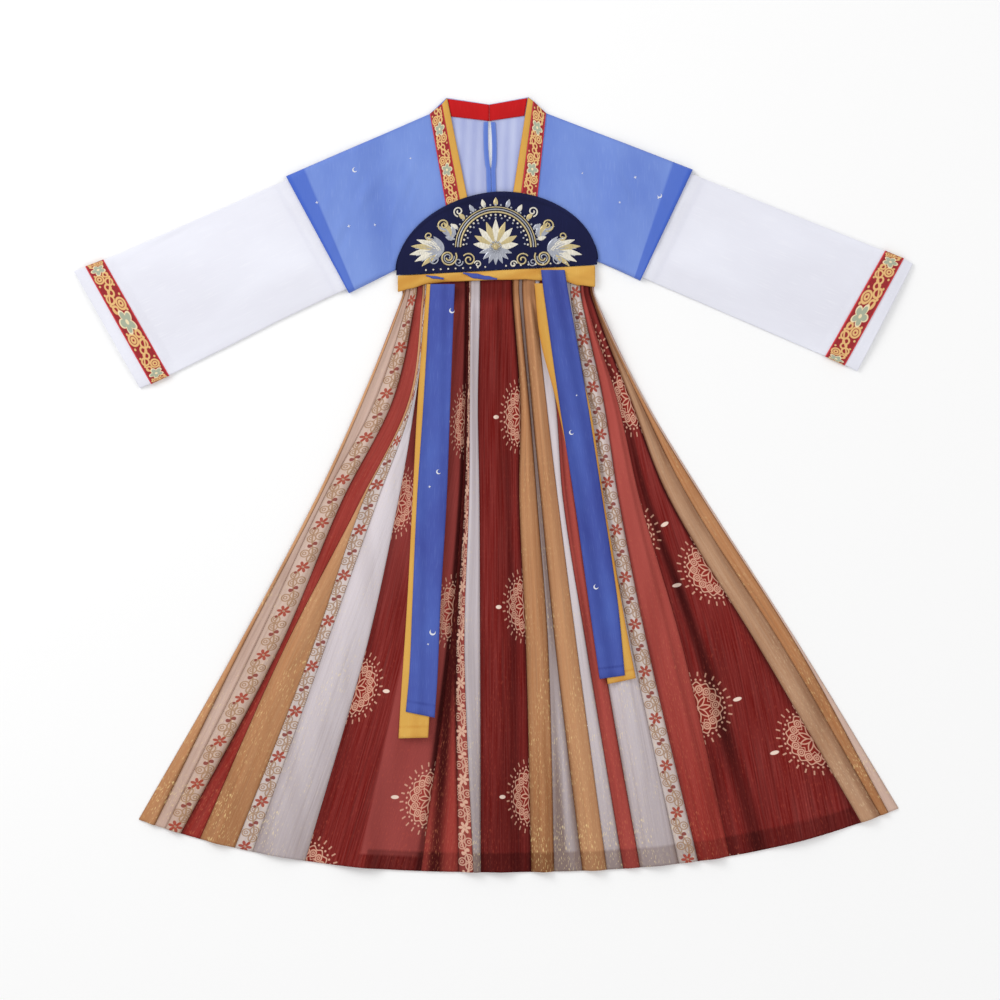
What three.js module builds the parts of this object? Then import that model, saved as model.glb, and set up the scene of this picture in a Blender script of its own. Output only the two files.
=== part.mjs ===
// A child's hanfu dress laid flat and face up: neck towards +Y, hem towards -Y, resting on z = 0.
// Millimetres. Every sewn piece is its own closed wall of cloth, clear of its neighbours.
import * as THREE from 'three';

const clearance = 0.3; // between two pieces that are sewn together or lie on each other
const thickness = { chiffon: 1, organza: 1, jacquard: 1.2, chestPanel: 1.6, sash: 2, ribbon: 1 };

// undersides of the layers, counted up from the table
const layer = { back: 0, front: 1.3, collar: 2.6, chest: 4.1, sash: 4.6, twist: 6.9 };

const dye = {
  blue: 0x6f8fdb,
  ribbonBlue: 0x4766c6,
  lilac: 0xbfc4e8,
  white: 0xeae9f4,
  yellow: 0xe3b357,
  navy: 0x1b2150,
  red: 0xd3191c,
  jacquard: 0xb2252a,
  gold: 0xc8955c,
  skirtWhite: 0xcfc6cc,
  floral: 0xd8b9a4,
  skirtRed: 0x8a2022,
  pinkRed: 0xa14a4c,
  orangeRed: 0xa83a2c,
};

const mix = (a, b, f) => a + (b - a) * f;
const bell = (d) => (Math.abs(d) < 1 ? Math.cos((d * Math.PI) / 2) ** 2 : 0);
const ease = (v, from, to) => THREE.MathUtils.smoothstep(v, from, to);

const robe = new THREE.Group();

function addPiece(name, geometry, colour, roughness = 0.85) {
  const material = new THREE.MeshStandardMaterial({ color: colour, roughness, metalness: 0 });
  const mesh = new THREE.Mesh(geometry, material);
  mesh.name = name;
  robe.add(mesh);
}

// closed bodies -----------------------------------------------------------------------------

function bodyFrom(points, faces) {
  const at = (i) => points[i];
  let volume = 0;
  for (const [a, b, c] of faces) {
    volume += at(a).dot(new THREE.Vector3().crossVectors(at(b), at(c)));
  }
  const outward = volume > 0 ? faces : faces.map(([a, b, c]) => [a, c, b]);
  const geometry = new THREE.BufferGeometry();
  geometry.setAttribute('position', new THREE.Float32BufferAttribute(
    points.flatMap((p) => [p.x, p.y, p.z]), 3));
  geometry.setIndex(outward.flat());
  geometry.computeVertexNormals();
  return geometry;
}

const quad = (a, b, c, d) => [[a, b, c], [a, c, d]];

// a wall of cloth over a grid of columns and rows: place(column, row) gives its underside
function sheetWall(columns, rows, wall, place) {
  const points = [];
  for (const raise of [0, wall]) {
    for (let j = 0; j <= rows; j += 1) {
      for (let i = 0; i <= columns; i += 1) {
        const p = place(i, j);
        points.push(new THREE.Vector3(p.x, p.y, p.z + raise));
      }
    }
  }
  const layerSize = (columns + 1) * (rows + 1);
  const under = (i, j) => j * (columns + 1) + i;
  const over = (i, j) => under(i, j) + layerSize;
  const faces = [];
  for (let j = 0; j < rows; j += 1) {
    for (let i = 0; i < columns; i += 1) {
      faces.push(...quad(over(i, j), over(i + 1, j), over(i + 1, j + 1), over(i, j + 1)));
      faces.push(...quad(under(i, j), under(i, j + 1), under(i + 1, j + 1), under(i + 1, j)));
    }
  }
  for (let i = 0; i < columns; i += 1) {
    faces.push(...quad(under(i, 0), under(i + 1, 0), over(i + 1, 0), over(i, 0)));
    faces.push(...quad(under(i + 1, rows), under(i, rows), over(i, rows), over(i + 1, rows)));
  }
  for (let j = 0; j < rows; j += 1) {
    faces.push(...quad(under(0, j + 1), under(0, j), over(0, j), over(0, j + 1)));
    faces.push(...quad(under(columns, j), under(columns, j + 1),
      over(columns, j + 1), over(columns, j)));
  }
  return bodyFrom(points, faces);
}

// a tube of cloth with open ends, from rings that each have an outer and an inner loop
function tubeWall(rings) {
  const sides = rings[0].outer.length;
  const points = rings.flatMap((ring) => [...ring.outer, ...ring.inner]);
  const outer = (r, k) => r * 2 * sides + (k % sides);
  const inner = (r, k) => outer(r, k) + sides;
  const faces = [];
  for (let k = 0; k < sides; k += 1) {
    for (let r = 0; r < rings.length - 1; r += 1) {
      faces.push(...quad(outer(r, k), outer(r + 1, k), outer(r + 1, k + 1), outer(r, k + 1)));
      faces.push(...quad(inner(r, k), inner(r, k + 1), inner(r + 1, k + 1), inner(r + 1, k)));
    }
    const last = rings.length - 1;
    faces.push(...quad(outer(0, k), outer(0, k + 1), inner(0, k + 1), inner(0, k)));
    faces.push(...quad(outer(last, k + 1), outer(last, k), inner(last, k), inner(last, k + 1)));
  }
  return bodyFrom(points, faces);
}

// a smooth line through knots { x, y } listed from the waist down
function lineAt(knots, y) {
  let k = 0;
  while (k < knots.length - 2 && y < knots[k + 1].y) k += 1;
  const slopeAt = (n) => {
    const above = knots[Math.max(n - 1, 0)];
    const below = knots[Math.min(n + 1, knots.length - 1)];
    return (below.x - above.x) / (below.y - above.y);
  };
  const span = knots[k + 1].y - knots[k].y;
  const f = (y - knots[k].y) / span;
  const rest = 1 - f;
  return knots[k].x * (1 + 2 * f) * rest * rest
    + knots[k + 1].x * (3 - 2 * f) * f * f
    + slopeAt(k) * span * f * rest * rest
    - slopeAt(k + 1) * span * f * f * rest;
}

// waist -------------------------------------------------------------------------------------

const waist = { leftX: -130, leftY: 282, rise: 0.0525 };
const waistY = (x) => waist.leftY + waist.rise * (x - waist.leftX);

// skirt: strips sewn side by side, gathered into the waist ------------------------------------

const skirt = { waistY: 255, hipY: 114, thighY: -21, shinY: -223 };
const skirtFront = { tuck: 2.5, rows: 14, inset: clearance / 2 };
const hem = {
  lowX: -5,
  lowY: -523,
  left: { reach: 474, rise: 71, power: 2.4 },
  right: { reach: 552, rise: 86, power: 2.6 },
};

// each row is a strip and where its left seam runs at five heights; the last row is the side fold
const strips = [
  { name: 'gold_side_left', dye: dye.gold, waist: -123, hip: -179, thigh: -241, shin: -348, hem: -479 },
  { name: 'white_side_left', dye: dye.skirtWhite, waist: -120, hip: -175, thigh: -236, shin: -341, hem: -457 },
  { name: 'floral_left', dye: dye.floral, waist: -114, hip: -159, thigh: -230, shin: -324, hem: -443 },
  { name: 'red_left', dye: dye.orangeRed, waist: -104, hip: -136, thigh: -204, shin: -290, hem: -422 },
  { name: 'gold_left', dye: dye.gold, waist: -96, hip: -114, thigh: -179, shin: -283, hem: -396 },
  { name: 'floral_left_inner', dye: dye.floral, waist: -93, hip: -111, thigh: -175, shin: -245, hem: -349 },
  { name: 'white_left', dye: dye.skirtWhite, waist: -90, hip: -108, thigh: -156, shin: -228, hem: -325 },
  { name: 'medallion_left', dye: dye.pinkRed, waist: -87, hip: -105, thigh: -128, shin: -172, hem: -254 },
  { name: 'red_fold', dye: dye.skirtRed, waist: -36, hip: -38, thigh: -43, shin: -59, hem: -98 },
  { name: 'scroll_print', dye: dye.pinkRed, waist: -33, hip: -35, thigh: -39, shin: -50, hem: -47 },
  { name: 'white_centre', dye: dye.skirtWhite, waist: -31, hip: -32, thigh: -33, shin: -39, hem: -27 },
  { name: 'medallion_centre', dye: dye.skirtRed, waist: -18, hip: -21, thigh: -19, shin: -18, hem: -17 },
  { name: 'gold_centre', dye: dye.gold, waist: 26, hip: 36, thigh: 35, shin: 44, hem: 51 },
  { name: 'white_fold', dye: dye.skirtWhite, waist: 35, hip: 48, thigh: 59, shin: 74, hem: 82 },
  { name: 'gold_centre_right', dye: dye.gold, waist: 39, hip: 51, thigh: 64, shin: 84, hem: 120 },
  { name: 'white_right', dye: dye.skirtWhite, waist: 57, hip: 71, thigh: 87, shin: 113, hem: 153 },
  { name: 'red_right', dye: dye.pinkRed, waist: 63, hip: 84, thigh: 94, shin: 126, hem: 175 },
  { name: 'white_right_outer', dye: dye.skirtWhite, waist: 79, hip: 98, thigh: 120, shin: 147, hem: 198 },
  { name: 'floral_right', dye: dye.floral, waist: 104, hip: 126, thigh: 147, shin: 187, hem: 250 },
  { name: 'orange_right', dye: dye.orangeRed, waist: 118, hip: 148, thigh: 169, shin: 209, hem: 276 },
  { name: 'medallion_right', dye: dye.skirtRed, waist: 123, hip: 167, thigh: 198, shin: 256, hem: 319 },
  { name: 'beige_right', dye: dye.floral, waist: 132, hip: 185, thigh: 238, shin: 360, hem: 496 },
  { name: 'gold_side_right', dye: dye.gold, waist: 133, hip: 197, thigh: 265, shin: 393, hem: 522 },
  { name: 'white_side_right', dye: dye.skirtWhite, waist: 135, hip: 202, thigh: 284, shin: 413, hem: 533 },
  { name: 'side_fold', waist: 137, hip: 205, thigh: 287, shin: 417, hem: 547 },
];
const stripCount = strips.length - 1;

// the folds that stand up from the skirt: crest counted in strips from the left, height at the
// waist and at the hem, and how far each side of the crest reaches at the hem
const folds = [
  { crest: 0.8, waist: 3, hem: 4, left: 12, right: 20 },
  { crest: 2.7, waist: 6, hem: 5, left: 26, right: 12 },
  { crest: 4.4, waist: 4, hem: 7, left: 14, right: 34 },
  { crest: 6.5, waist: 5, hem: 5, left: 40, right: 45 },
  { crest: 7.5, waist: 8, hem: 8, left: 60, right: 36 },
  { crest: 10.1, waist: 8, hem: 8, left: 22, right: 18 },
  { crest: 11.4, waist: 9, hem: 7, left: 30, right: 26 },
  { crest: 12.6, waist: 7, hem: 8, left: 20, right: 14 },
  { crest: 14.5, waist: 8, hem: 8, left: 16, right: 24 },
  { crest: 16.5, waist: 6, hem: 4, left: 14, right: 16 },
  { crest: 17.5, waist: 6, hem: 6, left: 32, right: 30 },
  { crest: 18.6, waist: 8, hem: 5, left: 16, right: 18 },
  { crest: 19.6, waist: 6, hem: 8, left: 28, right: 14 },
  { crest: 20.55, waist: 2, hem: 5, left: 60, right: 80 },
  { crest: 21.4, waist: 4, hem: 6, left: 26, right: 24 },
  { crest: 22.6, waist: 3, hem: 3, left: 14, right: 10 },
];
const foldTaper = 0.3; // a fold's reach at the waist, as a share of its reach at the hem
const press = { share: 0.15, above: 256, below: 224 }; // the sash holds the gathers down

function hemY(x) {
  const side = x < hem.lowX ? hem.left : hem.right;
  return hem.lowY + side.rise * (Math.abs(x - hem.lowX) / side.reach) ** side.power;
}

// the line of the cloth from waist to hem, a share f of the way between two seams
function goreLine(from, to, f, tuck) {
  const at = (height) => mix(from[height], to[height], f);
  return [
    { x: at('waist'), y: waistY(at('waist')) - tuck },
    { x: at('waist'), y: skirt.waistY },
    { x: at('hip'), y: skirt.hipY },
    { x: at('thigh'), y: skirt.thighY },
    { x: at('shin'), y: skirt.shinY },
    { x: at('hem'), y: hemY(at('hem')) },
  ];
}

function goreThrough(crest) {
  const n = Math.min(Math.floor(crest), stripCount - 1);
  return goreLine(strips[n], strips[n + 1], crest - n, skirtFront.tuck);
}

const foldLines = folds.map((fold) => ({ ...fold, line: goreThrough(fold.crest) }));

function foldHeight(x, y) {
  const down = (skirt.waistY - y) / (skirt.waistY - hem.lowY);
  const t = THREE.MathUtils.clamp(down, 0, 1);
  const held = mix(press.share, 1, 1 - ease(y, press.below, press.above));
  let height = 0;
  for (const fold of foldLines) {
    const off = x - lineAt(fold.line, y);
    const reach = (off < 0 ? fold.left : fold.right) * mix(foldTaper, 1, t);
    height += mix(fold.waist, fold.hem, t) * bell(off / reach);
  }
  return height * held;
}

// a wall between two seams; rows crowd together near the gathers
const rowCrowding = 1.3;

function goreWall(from, to, { columns, rows, inset, tuck }, underside) {
  return sheetWall(columns, rows, thickness.chiffon, (i, j) => {
    const line = goreLine(from, to, i / columns, tuck);
    const y = mix(line[0].y, line[line.length - 1].y, (j / rows) ** rowCrowding);
    const atLeft = i === 0 ? inset : 0;
    const atRight = i === columns ? inset : 0;
    const x = lineAt(line, y) + atLeft - atRight;
    return { x, y, z: underside(x, y) };
  });
}

const stripCell = 34; // one column of facets for about this much width at the hem

for (let n = 0; n < stripCount; n += 1) {
  const strip = strips[n];
  const columns = Math.max(2, Math.round((strips[n + 1].hem - strip.hem) / stripCell));
  const wall = goreWall(strip, strips[n + 1], { ...skirtFront, columns },
    (x, y) => layer.front + foldHeight(x, y));
  addPiece(`skirt_${strip.name}`, wall, strip.dye, 0.7);
}

// the back lies flat on the table, from the sash's run behind the waist down to the same hem
const sashBack = { width: 20, ends: [-124, 134] };
const skirtBack = { columns: 10, rows: 12, inset: 0.5, tuck: sashBack.width + clearance };
addPiece('skirt_back', goreWall(strips[0], strips[stripCount], skirtBack, () => layer.back), dye.skirtRed);

// bodice and half-sleeves, cut in one: fronts over backs ---------------------------------------

const centreBack = { topX: -6, topY: 513, lean: 0.028 };
const centreX = (y) => centreBack.topX + (centreBack.topY - y) * centreBack.lean;
const keyhole = { topY: 497, lowY: 427, halfWidth: 3 };

function keyholeHalf(y) {
  const f = (y - keyhole.lowY) / (keyhole.topY - keyhole.lowY);
  return f > 0 && f < 1 ? keyhole.halfWidth * Math.sqrt(Math.sin(Math.PI * f)) : 0;
}

// outline points of each side, at shares of the way out from the centre to the half-sleeve's hem
const sides = {
  left: {
    hand: -1,
    neck: [-63, 522],
    shoulder: [-86, 500],
    overArmpit: [-150, 472],
    overCap: [-190, 455],
    sleeveTop: [-280, 416],
    sleeveLow: [-195, 258],
    underCap: [-165, 273],
    armpit: [-131, 290],
    waistIn: [-14, 288.5],
    waistMid: [-100, 284],
  },
  right: {
    hand: 1,
    neck: [47, 523],
    shoulder: [71, 501],
    overArmpit: [131, 478],
    overCap: [171, 463],
    sleeveTop: [269, 425],
    sleeveLow: [198, 275],
    underCap: [168, 289],
    armpit: [138, 302],
    waistIn: [9, 290],
    waistMid: [108, 295],
  },
};

// columns of facets: share across, and how far the cloth has risen over the sleeve inside it
const bodiceColumns = [
  { top: 'neck', low: 'waistIn', between: 0, risen: 0 },
  { top: 'shoulder', low: 'waistMid', between: 0, risen: 0 },
  { top: 'overArmpit', low: 'armpit', between: 0, risen: 0 },
  { top: 'overCap', low: 'underCap', between: 0, risen: 1 },
  { top: 'overCap', low: 'underCap', between: 0.5, risen: 1 },
  { top: 'sleeveTop', low: 'sleeveLow', between: 0, risen: 1 },
];
const bodiceRows = [0, 0.035, 0.14, 0.26, 0.38, 0.5, 0.62, 0.74, 0.86, 0.965, 1];
const sleeveRise = { flat: 4.4, crown: 2.2 };

function outlinePoint(side, key, between) {
  const [x, y] = side[key];
  const [endX, endY] = key === 'overCap' ? side.sleeveTop : side.sleeveLow;
  return [mix(x, endX, between), mix(y, endY, between)];
}

const bodicePoint = (side, column, down) => {
  const [topX, topY] = outlinePoint(side, column.top, column.between);
  const [lowX, lowY] = outlinePoint(side, column.low, column.between);
  return { x: mix(topX, lowX, down), y: mix(topY, lowY, down) };
};

function bodiceFront(side) {
  return sheetWall(bodiceColumns.length - 1, bodiceRows.length - 1, thickness.chiffon, (i, j) => {
    const down = bodiceRows[j];
    const column = bodiceColumns[i];
    const open = j === 0 || j === bodiceRows.length - 1 ? 0 : 1;
    const crown = sleeveRise.crown * (1 - (2 * down - 1) ** 2);
    const rise = column.risen * open * (sleeveRise.flat + crown);
    return { ...bodicePoint(side, column, down), z: layer.front + rise };
  });
}

function bodiceBack(side) {
  const gap = clearance / 2;
  return sheetWall(bodiceColumns.length, bodiceRows.length - 1, thickness.chiffon, (i, j) => {
    const down = bodiceRows[j];
    if (i > 0) return { ...bodicePoint(side, bodiceColumns[i - 1], down), z: layer.back };
    const y = mix(centreBack.topY, waistY(0) + 1, down);
    return { x: centreX(y) + side.hand * (gap + keyholeHalf(y)), y, z: layer.back };
  });
}

for (const [name, side] of Object.entries(sides)) {
  addPiece(`bodice_back_${name}`, bodiceBack(side), dye.lilac);
  addPiece(`bodice_front_${name}`, bodiceFront(side), dye.blue);
}

// what shows inside the neck: bindings of the keyhole and the two halves of the neckband ---------

const binding = { width: 6.3, topY: 489, lowY: 380, rows: 10 };
const neckband = {
  left: { outTop: [-62, 520.5], outLow: [-57, 496.5], inTop: 512.5, inLow: 490.5 },
  right: { outTop: [45.5, 521.5], outLow: [41.7, 497.5], inTop: 512.5, inLow: 490.5 },
};
const neckbandColumns = 4;

for (const [name, side] of Object.entries(sides)) {
  addPiece(`keyhole_binding_${name}`, sheetWall(1, binding.rows, thickness.chiffon, (i, j) => {
    const y = mix(binding.topY, binding.lowY, j / binding.rows);
    const from = clearance / 2 + keyholeHalf(y);
    return { x: centreX(y) + side.hand * (from + i * binding.width), y, z: layer.front };
  }), dye.blue);
  const band = neckband[name];
  addPiece(`neckband_${name}`, sheetWall(neckbandColumns, 1, thickness.jacquard, (i, j) => {
    const out = j === 0 ? band.outTop : band.outLow;
    const inY = j === 0 ? band.inTop : band.inLow;
    const inX = centreX(inY) + side.hand * clearance / 2;
    const f = i / neckbandColumns;
    return { x: mix(inX, out[0], f), y: mix(inY, out[1], f), z: layer.front };
  }), dye.red);
}

// collar: a jacquard ribbon and a yellow edge on each front, from the shoulder under the chest panel

const collarTuck = 372; // the lower ends are under the chest panel
const collars = {
  left: { outer: [[-86, 500], [-65, 380]], seam: [[-69.5, 513.5], [-46.5, 390]], inner: [[-62.5, 521.5], [-36, 392]] },
  right: { outer: [[71, 501], [59, 384]], seam: [[53.5, 517.5], [37, 391]], inner: [[46.5, 522.5], [26.5, 396]] },
};
const collarRows = 5;

function collarBand(outer, inner, wall) {
  const lowered = ([[topX, topY], [lowX, lowY]]) => {
    const slope = (lowX - topX) / (lowY - topY);
    return { topX, topY, lowX: topX + slope * (collarTuck - topY) };
  };
  const edges = [lowered(outer), lowered(inner)];
  const toInner = Math.sign(edges[1].topX - edges[0].topX);
  return sheetWall(1, collarRows, wall, (i, j) => {
    const edge = edges[i];
    const f = j / collarRows;
    const x = mix(edge.topX, edge.lowX, f) + (i === 0 ? 1 : -1) * toInner * clearance / 2;
    return { x, y: mix(edge.topY, collarTuck, f), z: layer.collar };
  });
}

for (const [name, band] of Object.entries(collars)) {
  addPiece(`collar_jacquard_${name}`, collarBand(band.outer, band.seam, thickness.jacquard), dye.jacquard);
  addPiece(`collar_edge_${name}`, collarBand(band.seam, band.inner, thickness.chiffon), dye.yellow);
}

// chest panel: half an ellipse standing on the waist line ----------------------------------------

const chest = { leftX: -131, rightX: 140, spring: 8, height: 98, power: 1.9, crown: 1.5 };
const chestColumns = 16;
const chestRows = 6;

function chestTop(x) {
  const middle = (chest.leftX + chest.rightX) / 2;
  const half = (chest.rightX - chest.leftX) / 2;
  const off = Math.min(Math.abs(x - middle) / half, 1);
  return waistY(x) + chest.spring + chest.height * (1 - off ** chest.power) ** (1 / chest.power);
}

addPiece('chest_panel', sheetWall(chestColumns, chestRows, thickness.chestPanel, (i, j) => {
  const turn = Math.PI * (1 - i / chestColumns);
  const middle = (chest.leftX + chest.rightX) / 2;
  const x = middle + ((chest.rightX - chest.leftX) / 2) * Math.cos(turn);
  const y = mix(waistY(x) + clearance, chestTop(x), j / chestRows);
  const crown = chest.crown * Math.sin(turn) * Math.sin((Math.PI * j) / chestRows);
  return { x, y, z: layer.chest + crown };
}), dye.navy, 0.6);

// sash: yellow across the waist, two turns of blue over it, and the run behind the waist ----------

const sashSections = [
  { x: -129, drop: 0.4, width: 22 },
  { x: -112, drop: 0.4, width: 18.5 },
  { x: -90, drop: 0.4, width: 13.5 },
  { x: -60, drop: 0.4, width: 12 },
  { x: -10, drop: 0.4, width: 12.5 },
  { x: 40, drop: 0.4, width: 14 },
  { x: 66, drop: 0.4, width: 17 },
  { x: 95, drop: 0.4, width: 20 },
  { x: 116, drop: 0.4, width: 26 },
  { x: 137, drop: 0.4, width: 29 },
];
const sashRows = 2;

addPiece('sash_front', sheetWall(sashSections.length - 1, sashRows, thickness.sash, (i, j) => {
  const { x, drop, width } = sashSections[i];
  const y = waistY(x) - drop - (width * j) / sashRows;
  return { x, y, z: layer.sash };
}), dye.yellow);

const twists = {
  left: [
    { x: -91, over: -2, width: 1.5 },
    { x: -80, over: -3.5, width: 4 },
    { x: -67, over: -6.5, width: 2.5 },
  ],
  right: [
    { x: -41, over: -1, width: 2 },
    { x: -25, over: -3, width: 7 },
    { x: -9, over: -7, width: 5.5 },
    { x: 5, over: -11, width: 2 },
  ],
};

for (const [name, sections] of Object.entries(twists)) {
  addPiece(`sash_twist_${name}`, sheetWall(sections.length - 1, 1, thickness.ribbon, (i, j) => {
    const { x, over, width } = sections[i];
    return { x, y: waistY(x) + over - j * width, z: layer.twist };
  }), dye.ribbonBlue);
}

const sashBackColumns = 6;
addPiece('sash_back', sheetWall(sashBackColumns, 1, thickness.ribbon, (i, j) => {
  const x = mix(sashBack.ends[0], sashBack.ends[1], i / sashBackColumns);
  return { x, y: waistY(x) - j * sashBack.width, z: layer.back };
}), dye.yellow);

// hanging ribbons: flat across, lying on the highest folds under them, blue over yellow ------------

// each row is the ribbon's two edges at one height; skew is how far the cut end slants
const ribbonPairs = {
  left: {
    yellow: {
      skew: 1,
      sections: [
        { y: 270, left: -90, right: -53 },
        { y: 114, left: -102, right: -63 },
        { y: -21, left: -109, right: -68 },
        { y: -156, left: -116, right: -76 },
        { y: -291, left: -125, right: -85 },
        { y: -342, left: -128, right: -88 },
      ],
    },
    blue: {
      skew: -8,
      sections: [
        { y: 270, left: -85, right: -52 },
        { y: 114, left: -94, right: -58 },
        { y: -21, left: -103, right: -63 },
        { y: -156, left: -109, right: -71 },
        { y: -250, left: -113, right: -75 },
        { y: -306, left: -118, right: -79 },
      ],
    },
  },
  right: {
    yellow: {
      skew: 8,
      sections: [
        { y: 271, left: 55, right: 90 },
        { y: 195, left: 63, right: 102 },
        { y: 114, left: 84, right: 128 },
        { y: -21, left: 112, right: 149 },
        { y: -156, left: 134, right: 172 },
        { y: -269, left: 154, right: 192 },
      ],
    },
    blue: {
      skew: 5,
      sections: [
        { y: 289, left: 64, right: 96 },
        { y: 264, left: 67, right: 100 },
        { y: 114, left: 88, right: 126 },
        { y: -21, left: 109, right: 147 },
        { y: -156, left: 128, right: 167 },
        { y: -262, left: 143, right: 177 },
      ],
    },
  },
};
const ribbonPitch = 25; // both ribbons of a pair bend at the same heights
const ribbonSample = 4; // how closely the folds below are felt
const ribbonColour = { yellow: dye.yellow, blue: dye.ribbonBlue };

const edgeOf = (ribbon, side) => ribbon.sections.map((section) => ({ x: section[side], y: section.y }));

// the highest cloth under a pair of ribbons, around one height
function bedUnder(pair, y) {
  let highest = y + ribbonPitch > skirt.waistY ? layer.sash + thickness.sash : 0;
  for (let v = y - ribbonPitch; v <= y + ribbonPitch; v += ribbonSample) {
    const left = lineAt(edgeOf(pair.yellow, 'left'), v);
    const right = lineAt(edgeOf(pair.blue, 'right'), v);
    for (let x = left - ribbonSample; x <= right + 2 * ribbonSample; x += ribbonSample) {
      highest = Math.max(highest, layer.front + thickness.chiffon + foldHeight(x, v));
    }
  }
  return highest + 2 * clearance;
}

for (const [side, pair] of Object.entries(ribbonPairs)) {
  const bed = (y) => {
    const step = Math.floor(y / ribbonPitch);
    const above = bedUnder(pair, (step + 1) * ribbonPitch);
    return mix(bedUnder(pair, step * ribbonPitch), above, y / ribbonPitch - step);
  };
  for (const [colour, ribbon] of Object.entries(pair)) {
    const heights = ribbon.sections.map((section) => section.y);
    const [top, low] = [heights[0], heights[heights.length - 1]];
    const rows = [top];
    const first = Math.ceil(top / ribbonPitch) - 1;
    for (let step = first; step * ribbonPitch > low + 1; step -= 1) rows.push(step * ribbonPitch);
    rows.push(low);
    const stack = colour === 'blue' ? thickness.ribbon + 2 * clearance : 0;
    addPiece(`ribbon_${colour}_${side}`, sheetWall(1, rows.length - 1, thickness.ribbon, (i, j) => {
      const y = rows[j];
      const x = lineAt(edgeOf(ribbon, i === 0 ? 'left' : 'right'), y);
      const slant = j === rows.length - 1 ? i * ribbon.skew : 0;
      return { x, y: y + slant, z: bed(y) + stack };
    }), ribbonColour[colour], 0.6);
  }
}

// white under-sleeves: flat tubes with open ends, and the jacquard ribbon round each cuff ----------

const sleeveTube = { height: 3.6, crown: 2, wall: thickness.organza };
const loop = [
  { across: -1, up: 0.5 },
  { across: -0.96, up: 1 },
  { across: -0.5, up: 1 },
  { across: 0, up: 1 },
  { across: 0.5, up: 1 },
  { across: 0.96, up: 1 },
  { across: 1, up: 0.5 },
  { across: 0.96, up: 0 },
  { across: 0, up: 0 },
  { across: -0.96, up: 0 },
];

// each row is a place along the sleeve: its upper fold, its lower fold and its height off the table
const cuffLift = thickness.jacquard + clearance;
const sleeves = {
  left: [
    { top: [-206, 441], low: [-176, 274], base: layer.front },
    { top: [-283, 409], low: [-202, 262], base: layer.front },
    { top: [-298, 403], low: [-216, 256], base: 0 },
    { top: [-370, 371], low: [-290, 221], base: 0 },
    { top: [-440, 340], low: [-357, 187], base: 0 },
    { top: [-512, 309], low: [-424, 154], base: 0 },
    { top: [-525, 303], low: [-437, 148], base: cuffLift },
    { top: [-551, 293], low: [-463, 136], base: cuffLift },
    { top: [-566, 288], low: [-477, 130], base: 0 },
  ],
  right: [
    { top: [190, 451], low: [177, 289], base: layer.front },
    { top: [273, 417], low: [205, 278], base: layer.front },
    { top: [288, 411], low: [220, 271], base: 0 },
    { top: [360, 382], low: [288, 242], base: 0 },
    { top: [435, 352], low: [362, 210], base: 0 },
    { top: [513, 321], low: [434, 179], base: 0 },
    { top: [527, 315], low: [447, 174], base: cuffLift },
    { top: [554, 304], low: [475, 161], base: cuffLift },
    { top: [566, 298], low: [491, 153], base: 0 },
  ],
};
const cuffRows = [6, 7]; // the jacquard ribbon is between these two places
const cuffInset = 0.03; // and just inside them, as a share of the way

function flatLoop(section, grow) {
  const dx = section.low[0] - section.top[0];
  const dy = section.low[1] - section.top[1];
  const half = Math.hypot(dx, dy) / 2;
  const stretch = (half + grow) / half;
  return loop.map(({ across, up }) => {
    const crown = up === 1 ? sleeveTube.crown * (1 - across * across) : 0;
    const low = section.base - grow;
    const high = section.base + sleeveTube.height + grow;
    return new THREE.Vector3(
      (section.top[0] + section.low[0]) / 2 + (dx / 2) * across * stretch,
      (section.top[1] + section.low[1]) / 2 + (dy / 2) * across * stretch,
      mix(low, high, up) + crown);
  });
}

const between = (a, b, f) => ({
  top: a.top.map((v, axis) => mix(v, b.top[axis], f)),
  low: a.low.map((v, axis) => mix(v, b.low[axis], f)),
  base: mix(a.base, b.base, f),
});

for (const [name, sections] of Object.entries(sleeves)) {
  addPiece(`sleeve_${name}`, tubeWall(sections.map((section) => ({
    outer: flatLoop(section, 0),
    inner: flatLoop(section, -sleeveTube.wall),
  }))), dye.white);
  const [from, to] = cuffRows.map((row) => sections[row]);
  const ends = [between(from, to, cuffInset), between(from, to, 1 - cuffInset)];
  addPiece(`cuff_jacquard_${name}`, tubeWall(ends.map((section) => ({
    outer: flatLoop(section, cuffLift),
    inner: flatLoop(section, clearance),
  }))), dye.jacquard);
}

export default robe;
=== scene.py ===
import math
import random

import bpy
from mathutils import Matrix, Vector, noise


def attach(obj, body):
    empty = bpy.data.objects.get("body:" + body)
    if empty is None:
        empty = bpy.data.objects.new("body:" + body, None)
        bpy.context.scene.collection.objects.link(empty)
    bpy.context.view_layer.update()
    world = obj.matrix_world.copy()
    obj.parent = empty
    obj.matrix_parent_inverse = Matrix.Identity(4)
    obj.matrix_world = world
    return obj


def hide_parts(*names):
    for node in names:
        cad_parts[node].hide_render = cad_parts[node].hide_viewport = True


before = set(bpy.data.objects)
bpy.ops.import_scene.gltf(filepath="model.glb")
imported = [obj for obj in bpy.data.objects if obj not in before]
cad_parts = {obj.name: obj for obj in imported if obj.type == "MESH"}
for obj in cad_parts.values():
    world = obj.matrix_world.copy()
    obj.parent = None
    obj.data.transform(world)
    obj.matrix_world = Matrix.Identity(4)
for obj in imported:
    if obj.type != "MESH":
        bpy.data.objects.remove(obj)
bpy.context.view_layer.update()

mm = 0.001
random.seed(7)

# a child's hanfu dress laid flat, neck towards +Y; sizes below are millimetres until a vertex is placed
print("hanfu dress: start")


def mix(a, b, f):
    return a + (b - a) * f


def clamp(v, low=0.0, high=1.0):
    return max(low, min(high, v))


def ease(v, start, end):
    f = clamp((v - start) / (end - start))
    return f * f * (3 - 2 * f)


def bell(d):
    return math.cos(d * math.pi / 2) ** 2 if abs(d) < 1 else 0.0


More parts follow.
